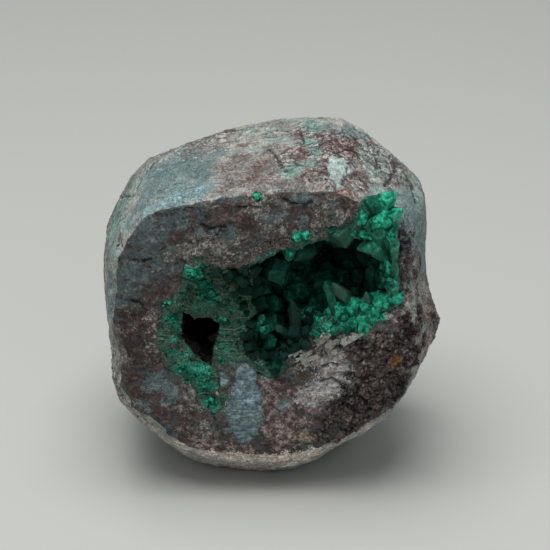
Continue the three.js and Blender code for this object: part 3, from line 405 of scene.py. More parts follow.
# Open cracks: half the width of each, in millimetres, and its course along the surface.
CRACK_DEPTH = 0.45
CRACKS = [
    (0.7, [(-0.6, 0, 78.2), (0.4, -2.3, 78.5), (1.9, -8.6, 79.2), (3.2, -14.3, 79.7)]),
    (0.6, [(-26.6, 7.1, 72.1), (-28, 3.5, 71.8), (-29.5, 1.5, 70.5), (-30.6, -3.6, 69.6)]),
    (0.6, [(-35, 8.5, 62), (-32.7, -0.1, 66.7), (-31, -4.8, 69.2)]),
    (0.7, [(-10.2, 17.9, 74.5), (-6.3, 18.6, 75.2), (-2.3, 17.2, 76.4)]),
    (0.6, [(-2.2, 11.8, 76.8), (0.8, 12.8, 77.3), (3.7, 10.5, 78.1)]),
    (0.5, [(-2, 10.3, 76.9), (-0.4, 9.1, 77.4), (1.2, 8.6, 77.7)]),
    (0.5, [(-1.8, 5.8, 77.3), (1, 4.8, 77.9)]),
    (0.6, [(10.7, 4.7, 79.5), (14, 6.8, 79.3), (16.8, 9.5, 78.3), (19.3, 8.2, 77.2), (20.8, 4.7, 76.5)]),
    (0.6, [(18.8, 15.6, 77.1), (19.7, 13.7, 76.7), (22.3, 15, 75.1), (24.1, 12.7, 74.1)]),
    (0.6, [(21.5, 12.7, 75.6), (22.1, 8.5, 75.5), (22.6, 4.7, 75.5)]),
    (0.6, [(13.9, -4.5, 79.5), (15.6, -1.7, 79), (17.5, 0.6, 78.2), (19.3, 0.4, 77.2),
          (20.3, -1.9, 76.6)]),
    (0.5, [(11.8, -12.1, 80.1), (12.6, -16.1, 79.9), (13.6, -19.7, 79.4), (14, -22.1, 79.1)]),
    (0.5, [(17, -6.9, 78.4), (16.3, -14.5, 78.6), (14.9, -20.9, 79)]),
    (0.7, [(27.4, 8.3, 72.3), (28.5, 2.6, 72.2), (26.4, -4.8, 73.2), (25.2, -10.6, 74.3)]),
    (0.5, [(31.7, -2.3, 70), (31.9, -7, 70), (32.5, -9.3, 69.2)]),
    (0.5, [(6.5, 11.3, 78.5), (7.1, 2.5, 79.5), (6.1, -4.4, 79.7)]),
    (0.5, [(24.9, 9.2, 73.9), (23.7, 1.7, 74.9), (23.9, -2.9, 74.6)]),
    (0.5, [(6.6, -17.5, 80), (8.9, -15.1, 80.3), (11, -15.7, 80.1)]),
    (0.6, [(27.5, -21.7, 67.5), (29.1, -20.7, 65.2), (30.6, -18.7, 64.4)]),
    (0.8, [(27.9, -21.2, 67.9), (28.7, -21.1, 65), (28, -22.2, 62.8)]),
    (0.6, [(-25.3, -23.8, 46.3), (-22.7, -23.4, 43.2), (-20.4, -21.2, 39.4)]),
    (0.6, [(-20.4, -21.2, 39.4), (-18.6, -21.8, 38.2), (-17.3, -22.4, 37)]),
    (0.5, [(-23.3, -23.4, 39.1), (-21, -24.1, 36.9)]),
    (0.7, [(-16, -23.6, 29.6), (-16, -23.9, 27.9)]),
    (0.6, [(4.6, -24.2, 36.2), (6.8, -24.3, 37), (9.9, -24.3, 38.1)]),
    (0.6, [(11.3, -24.5, 38.7), (12.4, -24.6, 40.6), (13.7, -24.8, 41.5)]),
    (0.5, [(15, -25, 41.6), (17.5, -25, 42.3), (20.2, -24.9, 43)]),
    (0.5, [(11.3, -24.5, 36.1), (13.8, -24.8, 36.8), (14.9, -24.8, 36.3)]),
    (0.5, [(10.9, -24.3, 31.8), (13.6, -24.6, 32.8), (15.4, -24.6, 31.5)]),
    (0.5, [(-15.6, -23.8, 71.2), (-12.5, -24, 70.3), (-9.9, -24.2, 70.9)]),
    (0.5, [(-31.5, -23.6, 63), (-28.9, -23.7, 62.1), (-26.7, -23.8, 62.9)]),
    (0.5, [(-31.2, -23.1, 52.2), (-28.8, -23.3, 51.3), (-27, -23.6, 49)]),
    (0.5, [(2.5, -23.8, 77.3), (5.5, -23.9, 76.4), (8.8, -23.9, 76.6)]),
    (0.5, [(-7, -23.9, 75.6), (-4.2, -24.1, 76.2), (-2.1, -24.3, 75.6)]),
    (0.6, [(21.4, 21, 64.5), (19.5, 22.9, 62.4), (17.6, 23.7, 60.2), (16, 23.7, 56.4), (14.3, 23, 52.3),
          (15.3, 22.9, 47.9), (16.3, 23.2, 43.7)]),
    (0.5, [(14.3, 23, 52.3), (9.8, 22.6, 50), (5.8, 22.9, 48), (1.6, 23.3, 49), (-2.6, 23.9, 50.1)]),
    (0.6, [(-28.9, 25.4, 30), (-25.9, 25.9, 31.6), (-22, 26.4, 33.1), (-18, 26.1, 30.6),
          (-14.1, 25.5, 28.2)]),
    (0.6, [(35, -5.8, 61.9), (35.2, -2.8, 57.9), (35.4, 0.1, 53.9), (35.5, -0.6, 49.7),
          (36.1, -1.7, 45.1)]),
    (0.5, [(36.1, 7.9, 37.8), (36.1, 10.9, 35.3), (35.9, 14.2, 32.2), (35.4, 13.1, 28.9),
          (34.4, 12.3, 26.3)]),
    (0.6, [(-38.6, 0, 51.9), (-38.7, 3.5, 50), (-38.8, 7, 48), (-38.5, 10.4, 49), (-37.5, 13.3, 50)]),
    (0.5, [(-37.2, -7.7, 30), (-37.5, -3.8, 28.2), (-37.5, 0.1, 26.1)]),
    (0.5, [(4, 23.4, 22.1), (7.7, 23.1, 19.4), (12.1, 22.7, 16.3), (16.3, 22.5, 17.2), (21.4, 22, 19)]),
]


# Without a seed of its own the noise would start from the clock and chip the stone anew in each run.
noise.seed_set(7)


def merged_copy(node):
    """A bmesh of a CAD node with the loose triangles joined."""
    shell = bmesh.new()
    shell.from_mesh(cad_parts[node].data)
    bmesh.ops.remove_doubles(shell, verts=shell.verts, dist=1e-6)
    return shell


def remeshed(shell, name, voxel):
    """The shell as an even net of small squares."""
    mesh = bpy.data.meshes.new(name)
    shell.to_mesh(mesh)
    rough = bpy.data.objects.new(name + "_rough", mesh)
    bpy.context.collection.objects.link(rough)
    net = rough.modifiers.new("net", "REMESH")
    net.mode = "VOXEL"
    net.voxel_size = voxel
    seen = rough.evaluated_get(bpy.context.evaluated_depsgraph_get())
    even = bmesh.new()
    even.from_mesh(seen.to_mesh())
    seen.to_mesh_clear()
    bpy.data.objects.remove(rough)
    bpy.data.meshes.remove(mesh)
    return even


def refine(shell, faces):
    """Divides each side of these faces in two."""
    edges = list(dict.fromkeys(e for f in faces for e in f.edges))
    bmesh.ops.subdivide_edges(shell, edges=edges, cuts=1, use_grid_fill=True)


def laid_on(shell, walls, reach):
    """Moves each point that is within reach of the walls onto them."""
    for v in shell.verts:
        on_wall = walls.find_nearest(v.co, reach)[0]
        if on_wall:
            v.co = on_wall


def nearness(points, at, stretch=1):
    """1 in the middle of the nearest of these spots, 0 on its edge and less outside."""
    best = np.full(len(points), -1.0)
    for x, y, z, reach in at:
        away = np.linalg.norm((points - (x, y, z)) * stretch, axis=1)
        best = np.maximum(best, 1 - away / reach)
    return best


def crack_depth(points, cracks):
    """1 along the middle of a crack and 0 or less beyond its edge."""
    depth = np.full(len(points), -1.0)
    for width, course in cracks:
        for start, end in zip(np.array(course[:-1]), np.array(course[1:])):
            along = np.clip((points - start) @ (end - start) / ((end - start) @ (end - start)), 0, 1)
            away = np.linalg.norm(points - start - along[:, None] * (end - start), axis=1)
            depth = np.maximum(depth, 1 - away / width)
    return depth


def ramp(values, low, high):
    """A soft step from 0 where the values are low to 1 where they are high."""
    share = np.clip((values - low) / (high - low), 0, 1)
    return share * share * (3 - 2 * share)


outline = np.concatenate([start + (end - start) * np.linspace(0, 1, 8, endpoint=False)[:, None]
                          for start, end in zip(POCKET_OUTLINE, np.roll(POCKET_OUTLINE, -1, axis=0))])
outline = outline[np.argsort(np.arctan2(outline[:, 1], outline[:, 0]))]


def outline_reach(turn):
    """How far the pocket's ragged outline is from its middle in these directions."""
    return np.interp(turn, np.arctan2(outline[:, 1], outline[:, 0]), np.linalg.norm(outline, axis=1),
                     period=2 * math.pi)


def mouth_share(points):
    """How far across the pocket's mouth these places lie: 0 in its middle, 1 on its ragged outline."""
    away = points[:, (0, 2)] - POCKET_MIDDLE
    return np.linalg.norm(away, axis=1) / outline_reach(np.arctan2(away[:, 1], away[:, 0]))


def with_mouth(points):
    """The places, moved near the pocket's mouth so that its smooth edge takes the ragged outline."""
    away = points[:, (0, 2)] - POCKET_MIDDLE
    turn = np.arctan2(away[:, 1], away[:, 0])
    across, up = np.cos(turn - POCKET_SLANT) / POCKET_HALF[0], np.sin(turn - POCKET_SLANT) / POCKET_HALF[1]
    smooth = 1 / np.hypot(across, up)
    pull = ramp(-np.linalg.norm(away, axis=1) / smooth, -1.7, -1.05) * ramp(-points[:, 1], 12.0, 17.0)
    moved = points.copy()
    moved[:, (0, 2)] += away * (pull * (outline_reach(turn) / smooth - 1))[:, None]
    return moved


def chips(place, size, seed):
    """A chipped surface: the height there, how near the next joint is, and the chip's own chance number."""
    bent = place / size + 0.3 * noise.noise_vector(place * 1.6 / size + Vector((seed, 0, 0)))
    far, spots = noise.voronoi(bent)
    own = noise.cell_vector(spots[0] * 37 + Vector((seed, seed, seed)))
    joint = max(0.0, 1 - (far[1] - far[0]) / 0.16)
    slant = (bent - spots[0]).dot(own * 2 - Vector((1, 1, 1)))
    return 0.9 * (own.z - 0.5) + 1.0 * slant - 0.35 * joint * joint, joint, own.x


def swayed(points, size, start=0):
    """A direction for each place that wanders smoothly over this size in millimetres."""
    return np.array([noise.noise_vector(Vector(p) / size + Vector((start, start, start))) for p in points])


def finished(shell, name, body="root"):
    """The bmesh as a piece of the object."""
    mesh = bpy.data.meshes.new(name)
    shell.to_mesh(mesh)
    shell.free()
    piece = bpy.data.objects.new(name, mesh)
    bpy.context.collection.objects.link(piece)
    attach(piece, body)
    return piece


def add_attribute(piece, name, values):
    """Lays one number for each corner of the piece on it, for its material to use."""
    attribute = piece.data.attributes.new(name, "FLOAT", "POINT")
    attribute.data.foreach_set("value", np.asarray(values, np.float32))


# The stone is an even net over the solid, finer where it shows and finest on the broken face and along the
# cracks, and its chips and cracks are pushed out of and into that net.
solid_crust = merged_copy("dioptase_crust")
solid_rock = merged_copy("rock")
crust_walls = BVHTree.FromBMesh(solid_crust)
rock_walls = BVHTree.FromBMesh(solid_rock)
stone = remeshed(solid_rock, "rock_detail", ROCK_NET)
stone.normal_update()
seen_faces = [f for f in stone.faces
              if crust_walls.ray_cast(f.calc_center_median(), f.normal, 1.0 * MM)[0] is None]
refine(stone, seen_faces)
laid_on(stone, rock_walls, 1.0 * MM)
stone.normal_update()
middles = np.array([f.calc_center_median() for f in stone.faces]) / MM
facing = np.array([f.normal for f in stone.faces])
fresh = (facing[:, 1] < -0.45) & (middles[:, 1] < FACE_FRONT)
fresh |= (np.linalg.norm(middles - RUBBLE_MIDDLE, axis=1) < RUBBLE_REACH) & (facing[:, 1] < 0.2)
fresh |= crack_depth(middles, CRACKS) > -0.9
stone.faces.ensure_lookup_table()
refine(stone, [stone.faces[i] for i in np.flatnonzero(fresh)])
stone.normal_update()

# How near each corner is to the spots of each mineral, and how far it belongs to the broken face.
points = with_mouth(np.array([v.co for v in stone.verts]) / MM)
normals = np.array([v.normal for v in stone.verts])
warp = swayed(points, 3.2)
spread = (1, 1 / SKIN_SPREAD, 1)
patches = {name: nearness(points + 1.3 * warp, mineral["at"], spread if mineral["on"] == "skin" else 1)
           for name, mineral in MINERALS.items()}
broken = ramp(-normals[:, 1], 0.60, 0.82) * ramp(points[:, 1], -21.0, -22.6)
broken = np.maximum(broken, ramp(patches["rubble"], -0.15, 0.25))
sill = np.linalg.norm((points - SILL_MIDDLE) / SILL_REACH, axis=1)
broken = np.maximum(broken, ramp(sill, 1.25, 0.9))
# How far the chips stand out, in millimetres: on the skin, then on the broken face, then in each mineral.
coarse = 0.18 + 0.20 * broken
fine = 0.11 + 0.11 * broken
for name, mineral in MINERALS.items():
    share = ramp(patches[name], -0.15, 0.25)
    if mineral["on"] != "both":
        share = share * (broken if mineral["on"] == "broken" else 1 - broken)
    coarse += share * (mineral["coarse"] - coarse)
    fine += share * (mineral["fine"] - fine)
cracks = ramp(crack_depth(points + 0.5 * swayed(points, 1.4, 9), CRACKS), 0.0, 0.7)
heights, joints, tones = np.zeros(len(points)), np.zeros(len(points)), np.zeros(len(points))
for i, p in enumerate(points):
    p = Vector(p)
    high, joint, tone = chips(p, 2.6, 3)
    low, small_joint, small_tone = chips(p, 1.1, 8)
    heights[i] = coarse[i] * (high + 0.5 * noise.noise(p / 3.5))
    heights[i] += fine[i] * (low + 0.5 * noise.noise(p / 0.7))
    joints[i] = max(joint * min(1, 1.6 * coarse[i]), small_joint * min(1, 2 * fine[i]))
    tones[i] = 0.5 * tone + 0.5 * small_tone
heights -= CRACK_DEPTH * cracks
moved = points + normals * heights[:, None]
moved[:, 2] = np.maximum(moved[:, 2], 0.0)
for v, p in zip(stone.verts, moved):
    v.co = Vector(p) * MM
rock = finished(stone, "rock_detail")
for name in MINERALS:
    add_attribute(rock, name, patches[name])
add_attribute(rock, "broken", broken)
# Near chip joints and cracks the colour is painted darker, as painted shade in the crevices.
add_attribute(rock, "joints", np.maximum(joints, cracks))
# Painted shade in the pocket: well past its outline on the walls inside, and up to the outline at the mouth.
inward = np.abs(points[:, 1] - POCKET_MIDWAY)
in_pocket = np.where(inward < 12.5, 1.7, np.where(inward < 16, 1.0, 0)) - mouth_share(points)
add_attribute(rock, "pocket", in_pocket)
add_attribute(rock, "tones", tones)
rock.data.polygons.foreach_set("use_smooth", [True] * len(rock.data.polygons))


class Mixture:
    """A material that is mixed from layers of colour, roughness and relief. Wherever it takes a value, the
    name of one of the piece's attributes serves as well."""

    def __init__(self, name):
        self.material = bpy.data.materials.new(name)
        self.material.use_nodes = True
        self.tree = self.material.node_tree
        self.surface = self.tree.nodes["Principled BSDF"]
        self.place = self.node("TexCoord", "Object", {})

    def put(self, socket, value):
        """Fills a socket with a value, a colour or what another node gives."""
        if isinstance(value, str):
            value = self.node("Attribute", "Fac", {}, attribute_name=value)
        if hasattr(value, "is_output"):
            self.tree.links.new(value, socket)
        elif hasattr(value, "__len__") and len(value) == 3 and len(socket.default_value) == 4:
            socket.default_value = (*value, 1)
        else:
            socket.default_value = value

    def node(self, kind, output, inputs, **settings):
        """Adds a node with these settings and inputs and gives one of its outputs."""
        node = self.tree.nodes.new("ShaderNode" + kind)
        for setting, value in settings.items():
            setattr(node, setting, value)
        for socket, value in inputs.items():
            self.put(node.inputs[socket], value)
        return node.outputs[output]

    def stretched(self, turn, scale):
        """The place, turned by degrees and scaled, for a pattern with a grain."""
        turn = [math.radians(angle) for angle in turn]
        return self.node("Mapping", "Vector", {"Vector": self.place, "Rotation": turn, "Scale": scale})

    def noise(self, size, detail=3, rough=0.55, place=None, output="Fac"):
        return self.node("TexNoise", output, {
            "Vector": place or self.place, "Scale": 1 / (size * MM), "Detail": detail, "Roughness": rough})

    def cells(self, size, kind="F1", output="Distance", place=None):
        scale = 1 / (size * MM)
        return self.node("TexVoronoi", output, {"Vector": place or self.place, "Scale": scale}, feature=kind)

    def warped(self, size, amount):
        """The place, pushed about by up to amount millimetres."""
        push, reach = self.noise(size, 2, output="Color"), (2 * amount * MM,) * 3
        return self.node("VectorMath", 0, {0: push, 1: reach, 2: self.place}, operation="MULTIPLY_ADD")

    def math(self, operation, first, *others):
        for other in others:
            first = self.node("Math", 0, {0: first, 1: other}, operation=operation)
        return first

    def times(self, *values):
        return self.math("MULTIPLY", *values)

    def plus(self, *values):
        return self.math("ADD", *values)

    def ramp(self, value, low, high, start=0.0, end=1.0):
        return self.node("MapRange", "Result", {
            "Value": value, "From Min": low, "From Max": high, "To Min": start, "To Max": end},
            interpolation_type="SMOOTHSTEP")

    def mix(self, share, a, b):
        """Two colours mixed."""
        return self.node("Mix", 2, {"Factor": share, 6: a, 7: b}, data_type="RGBA")

    def blend(self, share, a, b):
        """Two values mixed."""
        return self.node("Mix", 0, {"Factor": share, 2: a, 3: b}, data_type="FLOAT")

    def tinted(self, colour, value):
        """The colour times a value."""
        return self.node("VectorMath", 0, {0: colour, "Scale": value}, operation="SCALE")

    def coat(self, colour, roughness, relief, depth, shine=0.5):
        """Finishes the surface. The relief is as deep as that in millimetres."""
        bumps = self.node("Bump", "Normal", {"Distance": depth * MM, "Height": relief})
        layers = {"Base Color": colour, "Roughness": roughness, "Normal": bumps, "Specular IOR Level": shine}
        for socket, value in layers.items():
            self.put(self.surface.inputs[socket], value)


ore = Mixture("altered_copper_ore")
grains = {size: ore.noise(size, 3, 0.6) for size in (0.45, 0.8, 1.3)}
broad, middle, speckle = ore.noise(6, 5, 0.6), ore.noise(2.4, 4), ore.noise(0.5, 4, 0.7)
skin = ore.mix(ore.ramp(broad, 0.42, 0.58), SKIN_BEIGE, SKIN_TEAL)
skin = ore.mix(ore.ramp(ore.noise(4.5, 6, 0.65), 0.55, 0.62), skin, SKIN_BROWN)
inner = ore.mix(ore.ramp(ore.noise(4, 6, 0.65), 0.45, 0.55), BROKEN_BROWN, BROKEN_TEAL)
inner = ore.mix(ore.ramp(ore.noise(2, 5, 0.65), 0.56, 0.64), inner, BROKEN_DARK)
is_broken = ore.ramp(ore.plus("broken", ore.times(grains[0.8], 0.3)), 0.5, 0.7)
is_skin = ore.math("SUBTRACT", 1.0, is_broken)
colour = ore.mix(is_broken, skin, inner)
roughness = ore.blend(is_broken, 0.72, 0.85)

# Thin dark veins round angular lumps of many shades, single pale and dark grains, and the short fine
# scratches of the worn skin.
bent = ore.warped(1.6, 0.7)
vein = ore.ramp(ore.cells(2.3, "DISTANCE_TO_EDGE", place=bent), 0.03, 0.12, 0.22, 1.0)
thin_vein = ore.ramp(ore.cells(0.95, "DISTANCE_TO_EDGE", place=bent), 0.03, 0.14, 0.5, 1.0)
lump = ore.ramp(ore.cells(2.3, "F1", "Color", place=bent), 0.3, 0.7, 0.65, 1.35)
vein = ore.times(ore.blend(ore.ramp(ore.noise(3), 0.36, 0.48), 1.0, vein), thin_vein, lump)
grit = ore.cells(0.72, "F1", "Color", place=ore.warped(0.7, 0.2))
grit = ore.times(ore.ramp(grit, 0.62, 0.72, 1.0, 1.7), ore.ramp(grit, 0.32, 0.42, 0.45, 1.0))
scratch = ore.noise(0.42, 2, place=ore.stretched((0, 0, 25), (1, 0.33, 1)))
scratch = ore.times(ore.ramp(scratch, 0.54, 0.66, 1.0, 1.6), ore.ramp(scratch, 0.34, 0.46, 0.5, 1.0))
stripes = ore.noise(0.55, 3, place=ore.stretched((0, 9, 0), (0.22, 1, 1)))
stripes = ore.ramp(stripes, 0.33, 0.67, 0.55, 1.4)
edge_noise = ore.plus(ore.ramp(middle, 0.3, 0.7, -0.4, 0.4), ore.ramp(speckle, 0.35, 0.65, -0.6, 0.6))
streaks = ore.blend(is_broken, scratch, grit)
for name, mineral in MINERALS.items():
    share = ore.ramp(ore.plus(name, ore.times(edge_noise, mineral["ragged"])), -0.25, 0.15)
    if mineral["on"] != "both":
        share = ore.times(share, is_broken if mineral["on"] == "broken" else is_skin)
    grain = ore.ramp(grains[mineral["grain"]], 0.42, 0.58)
    own = ore.mix(grain, mineral["one_shade"], mineral["other_shade"])
    for layer, pattern in (("veins", vein), ("grit", grit), ("stripes", stripes)):
        own = ore.tinted(own, ore.blend(mineral[layer], 1.0, pattern))
    colour = ore.mix(share, colour, own)
    roughness = ore.blend(share, roughness, mineral["roughness"])
# Dark red seams run between the lumps of the breccia.
seam = ore.ramp(ore.cells(3.0, "DISTANCE_TO_EDGE", place=ore.warped(2.4, 1.4)), 0.02, 0.10, 0.9, 0.0)
seam = ore.times(seam, ore.ramp("breccia", -0.8, 0.0), ore.ramp("pale_patch", -0.4, -0.1, 1.0, 0.0),
                 ore.times(is_skin, ore.ramp(ore.noise(3.5), 0.38, 0.50)))
colour = ore.mix(seam, colour, SEAM_RED)
# The tone darkens along the chip joints and cracks: painted shade in the crevices.
tone = ore.times(
    ore.ramp(speckle, 0.3, 0.7, 0.68, 1.32), ore.ramp(middle, 0.3, 0.7, 0.82, 1.18),
    ore.ramp("tones", 0, 1, 0.75, 1.25), ore.ramp("joints", 0.2, 0.9, 1.0, 0.3),
    ore.blend(ore.blend(is_broken, 0.6, 0.12), 1.0, streaks))
# The pocket is painted near black: painted shade.
colour = ore.mix(ore.ramp("pocket", 0, 0.1), ore.tinted(colour, tone), PAINTED_POCKET_SHADE)
roughness = ore.plus(roughness, ore.ramp(speckle, 0.3, 0.7, -0.08, 0.08))
relief = ore.plus(ore.times(grains[0.8], 0.6), ore.times(speckle, 0.4), ore.times(grit, 0.07))
ore.coat(colour, roughness, relief, 0.9, shine=0.35)
rock.data.materials.append(ore.material)

# The walls of the pocket are painted matt black: painted shade.
black = Mixture("pocket_painted_shade")
pocket_shade_mottle = black.noise(0.8)
colour = black.mix(pocket_shade_mottle, (0.006, 0.006, 0.006), (0.016, 0.015, 0.015))
black.coat(colour, black.ramp(pocket_shade_mottle, 0.3, 0.7, 0.9, 1.0), pocket_shade_mottle, 0.3, shine=0.0)


def blacken(piece, inside):
    """Gives the pocket's painted black shade to the faces whose corners all lie inside."""
    piece.data.materials.append(black.material)
    for face in piece.data.polygons:
        if all(inside[corner] > 0.05 for corner in face.vertices):
            face.material_index = 1


blacken(rock, in_pocket)
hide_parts("rock")


# The druse: the thin green crust that lines the hollow, a felt of crystals too small to tell apart, which
# grew straight on the rock and carries the large ones. It is emerald in places, olive and streaky in the
# shallow left, and the colour of the rock along the lip.
DRUSE_NET = 0.7 * MM
EMERALD_SPOTS = [
    (-16.8, -24.3, 59.2, 2.9), (-17.9, -23.7, 61.3, 1.8), (-14.8, -20, 53.1, 2.2),
    (-13.3, -19.7, 51.2, 1.6), (-22.7, -21.1, 46.5, 2), (-21.5, -20.8, 44.3, 1.6),
    (-22.8, -22.8, 39.3, 1.6), (-19.5, -23.5, 34.5, 2.5), (-16.2, -23.7, 34.1, 2.7),
    (-14.4, -22.9, 30.5, 2), (-14.5, -23.3, 25.9, 1.8), (-13.1, -23.9, 25, 1.4), (-1.8, -9.6, 39.1, 1.1),
    (-1.1, -10.9, 37.5, 1.4), (-20.8, -23.4, 52.4, 1.3), (-11.1, -19.7, 45.8, 1.3),
    (10.8, -24.7, 45.5, 1.6), (13.4, -25.9, 46.7, 1.8), (16.4, -22.2, 46.2, 1.8),
]
BARE_SPOTS = [
    (-17.9, -23.7, 62.1, 1.1), (-16.4, -23.7, 62.3, 1.1), (-14.4, -24.3, 62.6, 1.2),
    (-12, -24.1, 62.3, 1.4), (-9.6, -23.8, 60.9, 1.4), (-7.2, -23.5, 61, 1.4), (-5, -23.7, 62.6, 1.4),
    (-3.4, -24.2, 65.3, 1.4), (-1.7, -24, 66.2, 1.2), (0.3, -24, 66.7, 1.2), (2.3, -23.8, 66.8, 1.2),
    (4, -24, 67.6, 1.1), (9.9, -23.7, 68.5, 1.1), (11.7, -23.8, 68.5, 1.1), (13.2, -23.6, 69.9, 1),
    (-11.2, -23.8, 35.5, 1), (-8.7, -23.7, 35.7, 1.1), (-6, -23.8, 36, 1.1), (-4, -23.4, 35.2, 1.1),
    (3.2, -24, 34.3, 1.1), (4.6, -24.1, 36.7, 1.1), (6.1, -24.1, 38.5, 1.1), (7.9, -24.1, 40, 1.1),
    (9.5, -23.4, 41.4, 1.1), (11, -24.4, 43.3, 1), (12.8, -24.7, 43.7, 1), (-23.8, -23.5, 43.6, 1.1),
    (-22.4, -23, 40.7, 1.1), (-23.2, -21.5, 43.7, 0.9), (-21.1, -21.6, 38.6, 1.1),
    (-19.3, -21.4, 36.4, 1.1), (-10.9, -24.1, 62.3, 1.6), (-8.5, -23.9, 61.9, 1.6),
    (-6.3, -23.6, 62, 1.6), (-4.3, -24, 63.5, 1.6), (-2.5, -23.9, 64.9, 1.6), (-0.8, -24, 65.4, 1.6),
    (1.2, -23.9, 65.9, 1.6), (3.2, -23.8, 66.3, 1.4), (-2.1, -24.3, 67.1, 1.6), (0.1, -24.3, 67.8, 1.6),
    (2.3, -24.1, 67.7, 1.4), (-4.7, -24.1, 64, 1.6),
]
# Places deep in the hollow that are painted nearly black as painted shade, where only crystals with little
# painted light stand.
PAINTED_SHADE_SPOTS = [
    (-10.2, -24.3, 60.9, 2), (-7.9, -21.3, 58.6, 2.4), (-5.2, -23.4, 59, 2.6), (-6.4, -20.6, 54.4, 2.2),
    (-3.5, -21.1, 53.2, 2.4), (-9, -21.2, 55.5, 1.8), (-3.5, -22.9, 38.8, 2), (-1.7, -20.4, 35.8, 2),
    (0.5, -16.8, 37.2, 1.8), (6.8, -23.3, 42.7, 2.5), (6, -14.8, 39.9, 2), (16.8, -2.5, 52.8, 3.7),
    (12.3, 0.2, 50.6, 3.2), (20.1, -7.7, 53.7, 3.2), (21.2, -10, 51.6, 2.7), (-0.4, -16.2, 58.1, 3.6),
    (-3, -21.2, 58.8, 2.7), (2.3, -9, 56.2, 2.3), (-3.7, -22.1, 38.9, 2.5), (25, -9.6, 53.2, 1.6),
    (24.8, -15.6, 52.8, 1.6), (8.6, -23.9, 41.2, 1.8), (-0.8, -16.1, 53.5, 2.7), (4.2, -5.2, 49, 2.8),
    (11.1, -6.1, 49.5, 3.2), (15.7, -2.7, 49, 2.8),
]


def keep_largest_part(shell):
    """Deletes the small bubbles that the net leaves inside the shell."""
    met, parts = set(), []
    for first in shell.verts:
        if first in met:
            continue
        met.add(first)
        part = [first]
        for corner in part:
            for e in corner.link_edges:
                other = e.other_vert(corner)
                if other not in met:
                    met.add(other)
                    part.append(other)
        parts.append(part)
    for part in sorted(parts, key=len)[:-1]:
        bmesh.ops.delete(shell, geom=part, context="VERTS")


crust = remeshed(solid_crust, "druse", DRUSE_NET)
for _ in range(3):
    bmesh.ops.smooth_vert(crust, verts=crust.verts, factor=0.5, use_axis_x=True, use_axis_y=True,
                          use_axis_z=True)
crust.normal_update()
open_faces = [f for f in crust.faces
              if rock_walls.ray_cast(f.calc_center_median(), f.normal, 1.6 * MM)[0] is None
              and rock_walls.find_nearest(f.calc_center_median(), 1.0 * MM)[0] is None]
footholds = [(f.calc_center_median().copy(), f.normal.copy(), f.calc_area()) for f in open_faces]
refine(crust, open_faces)
keep_largest_part(crust)
crust.normal_update()
for v in crust.verts:
    on_rock = rock_walls.find_nearest(v.co, 1.1 * MM)[0]
    if on_rock:
        v.co = on_rock + (on_rock - v.co).normalized() * 0.35 * MM
crust.normal_update()
points = with_mouth(np.array([v.co for v in crust.verts]) / MM)
for v, p in zip(crust.verts, points):
    v.co = Vector(p) * MM
crust.normal_update()
warp = swayed(points, 2.2)
shallow = ramp(points[:, 0] - 2.8 * ramp(points[:, 2], 56, 52), -6.0, -9.0)
for v, p, streaky in zip(crust.verts, points, shallow):
    p = Vector(p)
    rise = (1 - streaky) * chips(p, 1.5, 5)[0]
    rise += streaky * chips(Vector((0.35 * p.x, p.y, p.z + 0.12 * p.x)), 0.9, 6)[0]
    v.co += v.normal * MM * (0.42 * rise + 0.16 * chips(p, 0.7, 7)[0])
druse = finished(crust, "druse")
for name, spots in (("emerald", EMERALD_SPOTS), ("bare", BARE_SPOTS), ("painted_shade", PAINTED_SHADE_SPOTS)):
    add_attribute(druse, name, nearness(points + 1.2 * warp, spots))
add_attribute(druse, "shallow", shallow)
add_attribute(druse, "front", ramp(points[:, 1], -12.0, -22.0))
in_pocket = 1 - mouth_share(points + 0.3 * warp)
add_attribute(druse, "pocket", in_pocket)

grown = Mixture("druse_green")
broad, middle, fine = grown.noise(5), grown.noise(1.6, 4, 0.65), grown.noise(0.45, 3, 0.65)
deep_green = grown.mix(grown.ramp(broad, 0.4, 0.6), (0.014, 0.052, 0.038), (0.014, 0.086, 0.062))
front_green = grown.mix(grown.ramp(middle, 0.4, 0.6), (0.012, 0.105, 0.072), (0.015, 0.060, 0.040))
colour = grown.mix("front", deep_green, front_green)
olive = grown.mix(grown.ramp(middle, 0.38, 0.62), (0.019, 0.088, 0.054), (0.036, 0.092, 0.060))
olive = grown.mix(grown.ramp(grown.noise(2.8, 4), 0.52, 0.62), olive, (0.018, 0.165, 0.105))
olive = grown.mix(grown.ramp(grown.noise(3.3, 4), 0.56, 0.64), olive, (0.014, 0.030, 0.022))
colour = grown.mix("shallow", colour, olive)
thread = grown.noise(0.5, 3, place=grown.stretched((0, 7, 0), (0.16, 1, 1)))
thread = grown.times(grown.ramp(thread, 0.60, 0.66), "shallow")
colour = grown.mix(thread, colour, (0.075, 0.125, 0.085))
# Painted shade darkens the druse deep in the hollow.
colour = grown.tinted(colour, grown.ramp("painted_shade", -0.15, 0.3, 1.0, 0.3))
edge_noise = grown.times(grown.math("SUBTRACT", middle, 0.5), 1.6)
is_emerald = grown.ramp(grown.plus("emerald", edge_noise), -0.2, 0.5)
bright = grown.mix(grown.ramp(fine, 0.4, 0.6), (0.010, 0.20, 0.130), (0.018, 0.32, 0.215))
colour = grown.mix(is_emerald, colour, bright)
is_bare = grown.ramp(grown.plus("bare", edge_noise), -0.1, 0.2)
host = grown.mix(grown.ramp(fine, 0.42, 0.58), (0.035, 0.026, 0.024), (0.13, 0.115, 0.10))
colour = grown.mix(is_bare, colour, host)
colour = grown.tinted(colour, grown.ramp(fine, 0.3, 0.7, 0.75, 1.28))
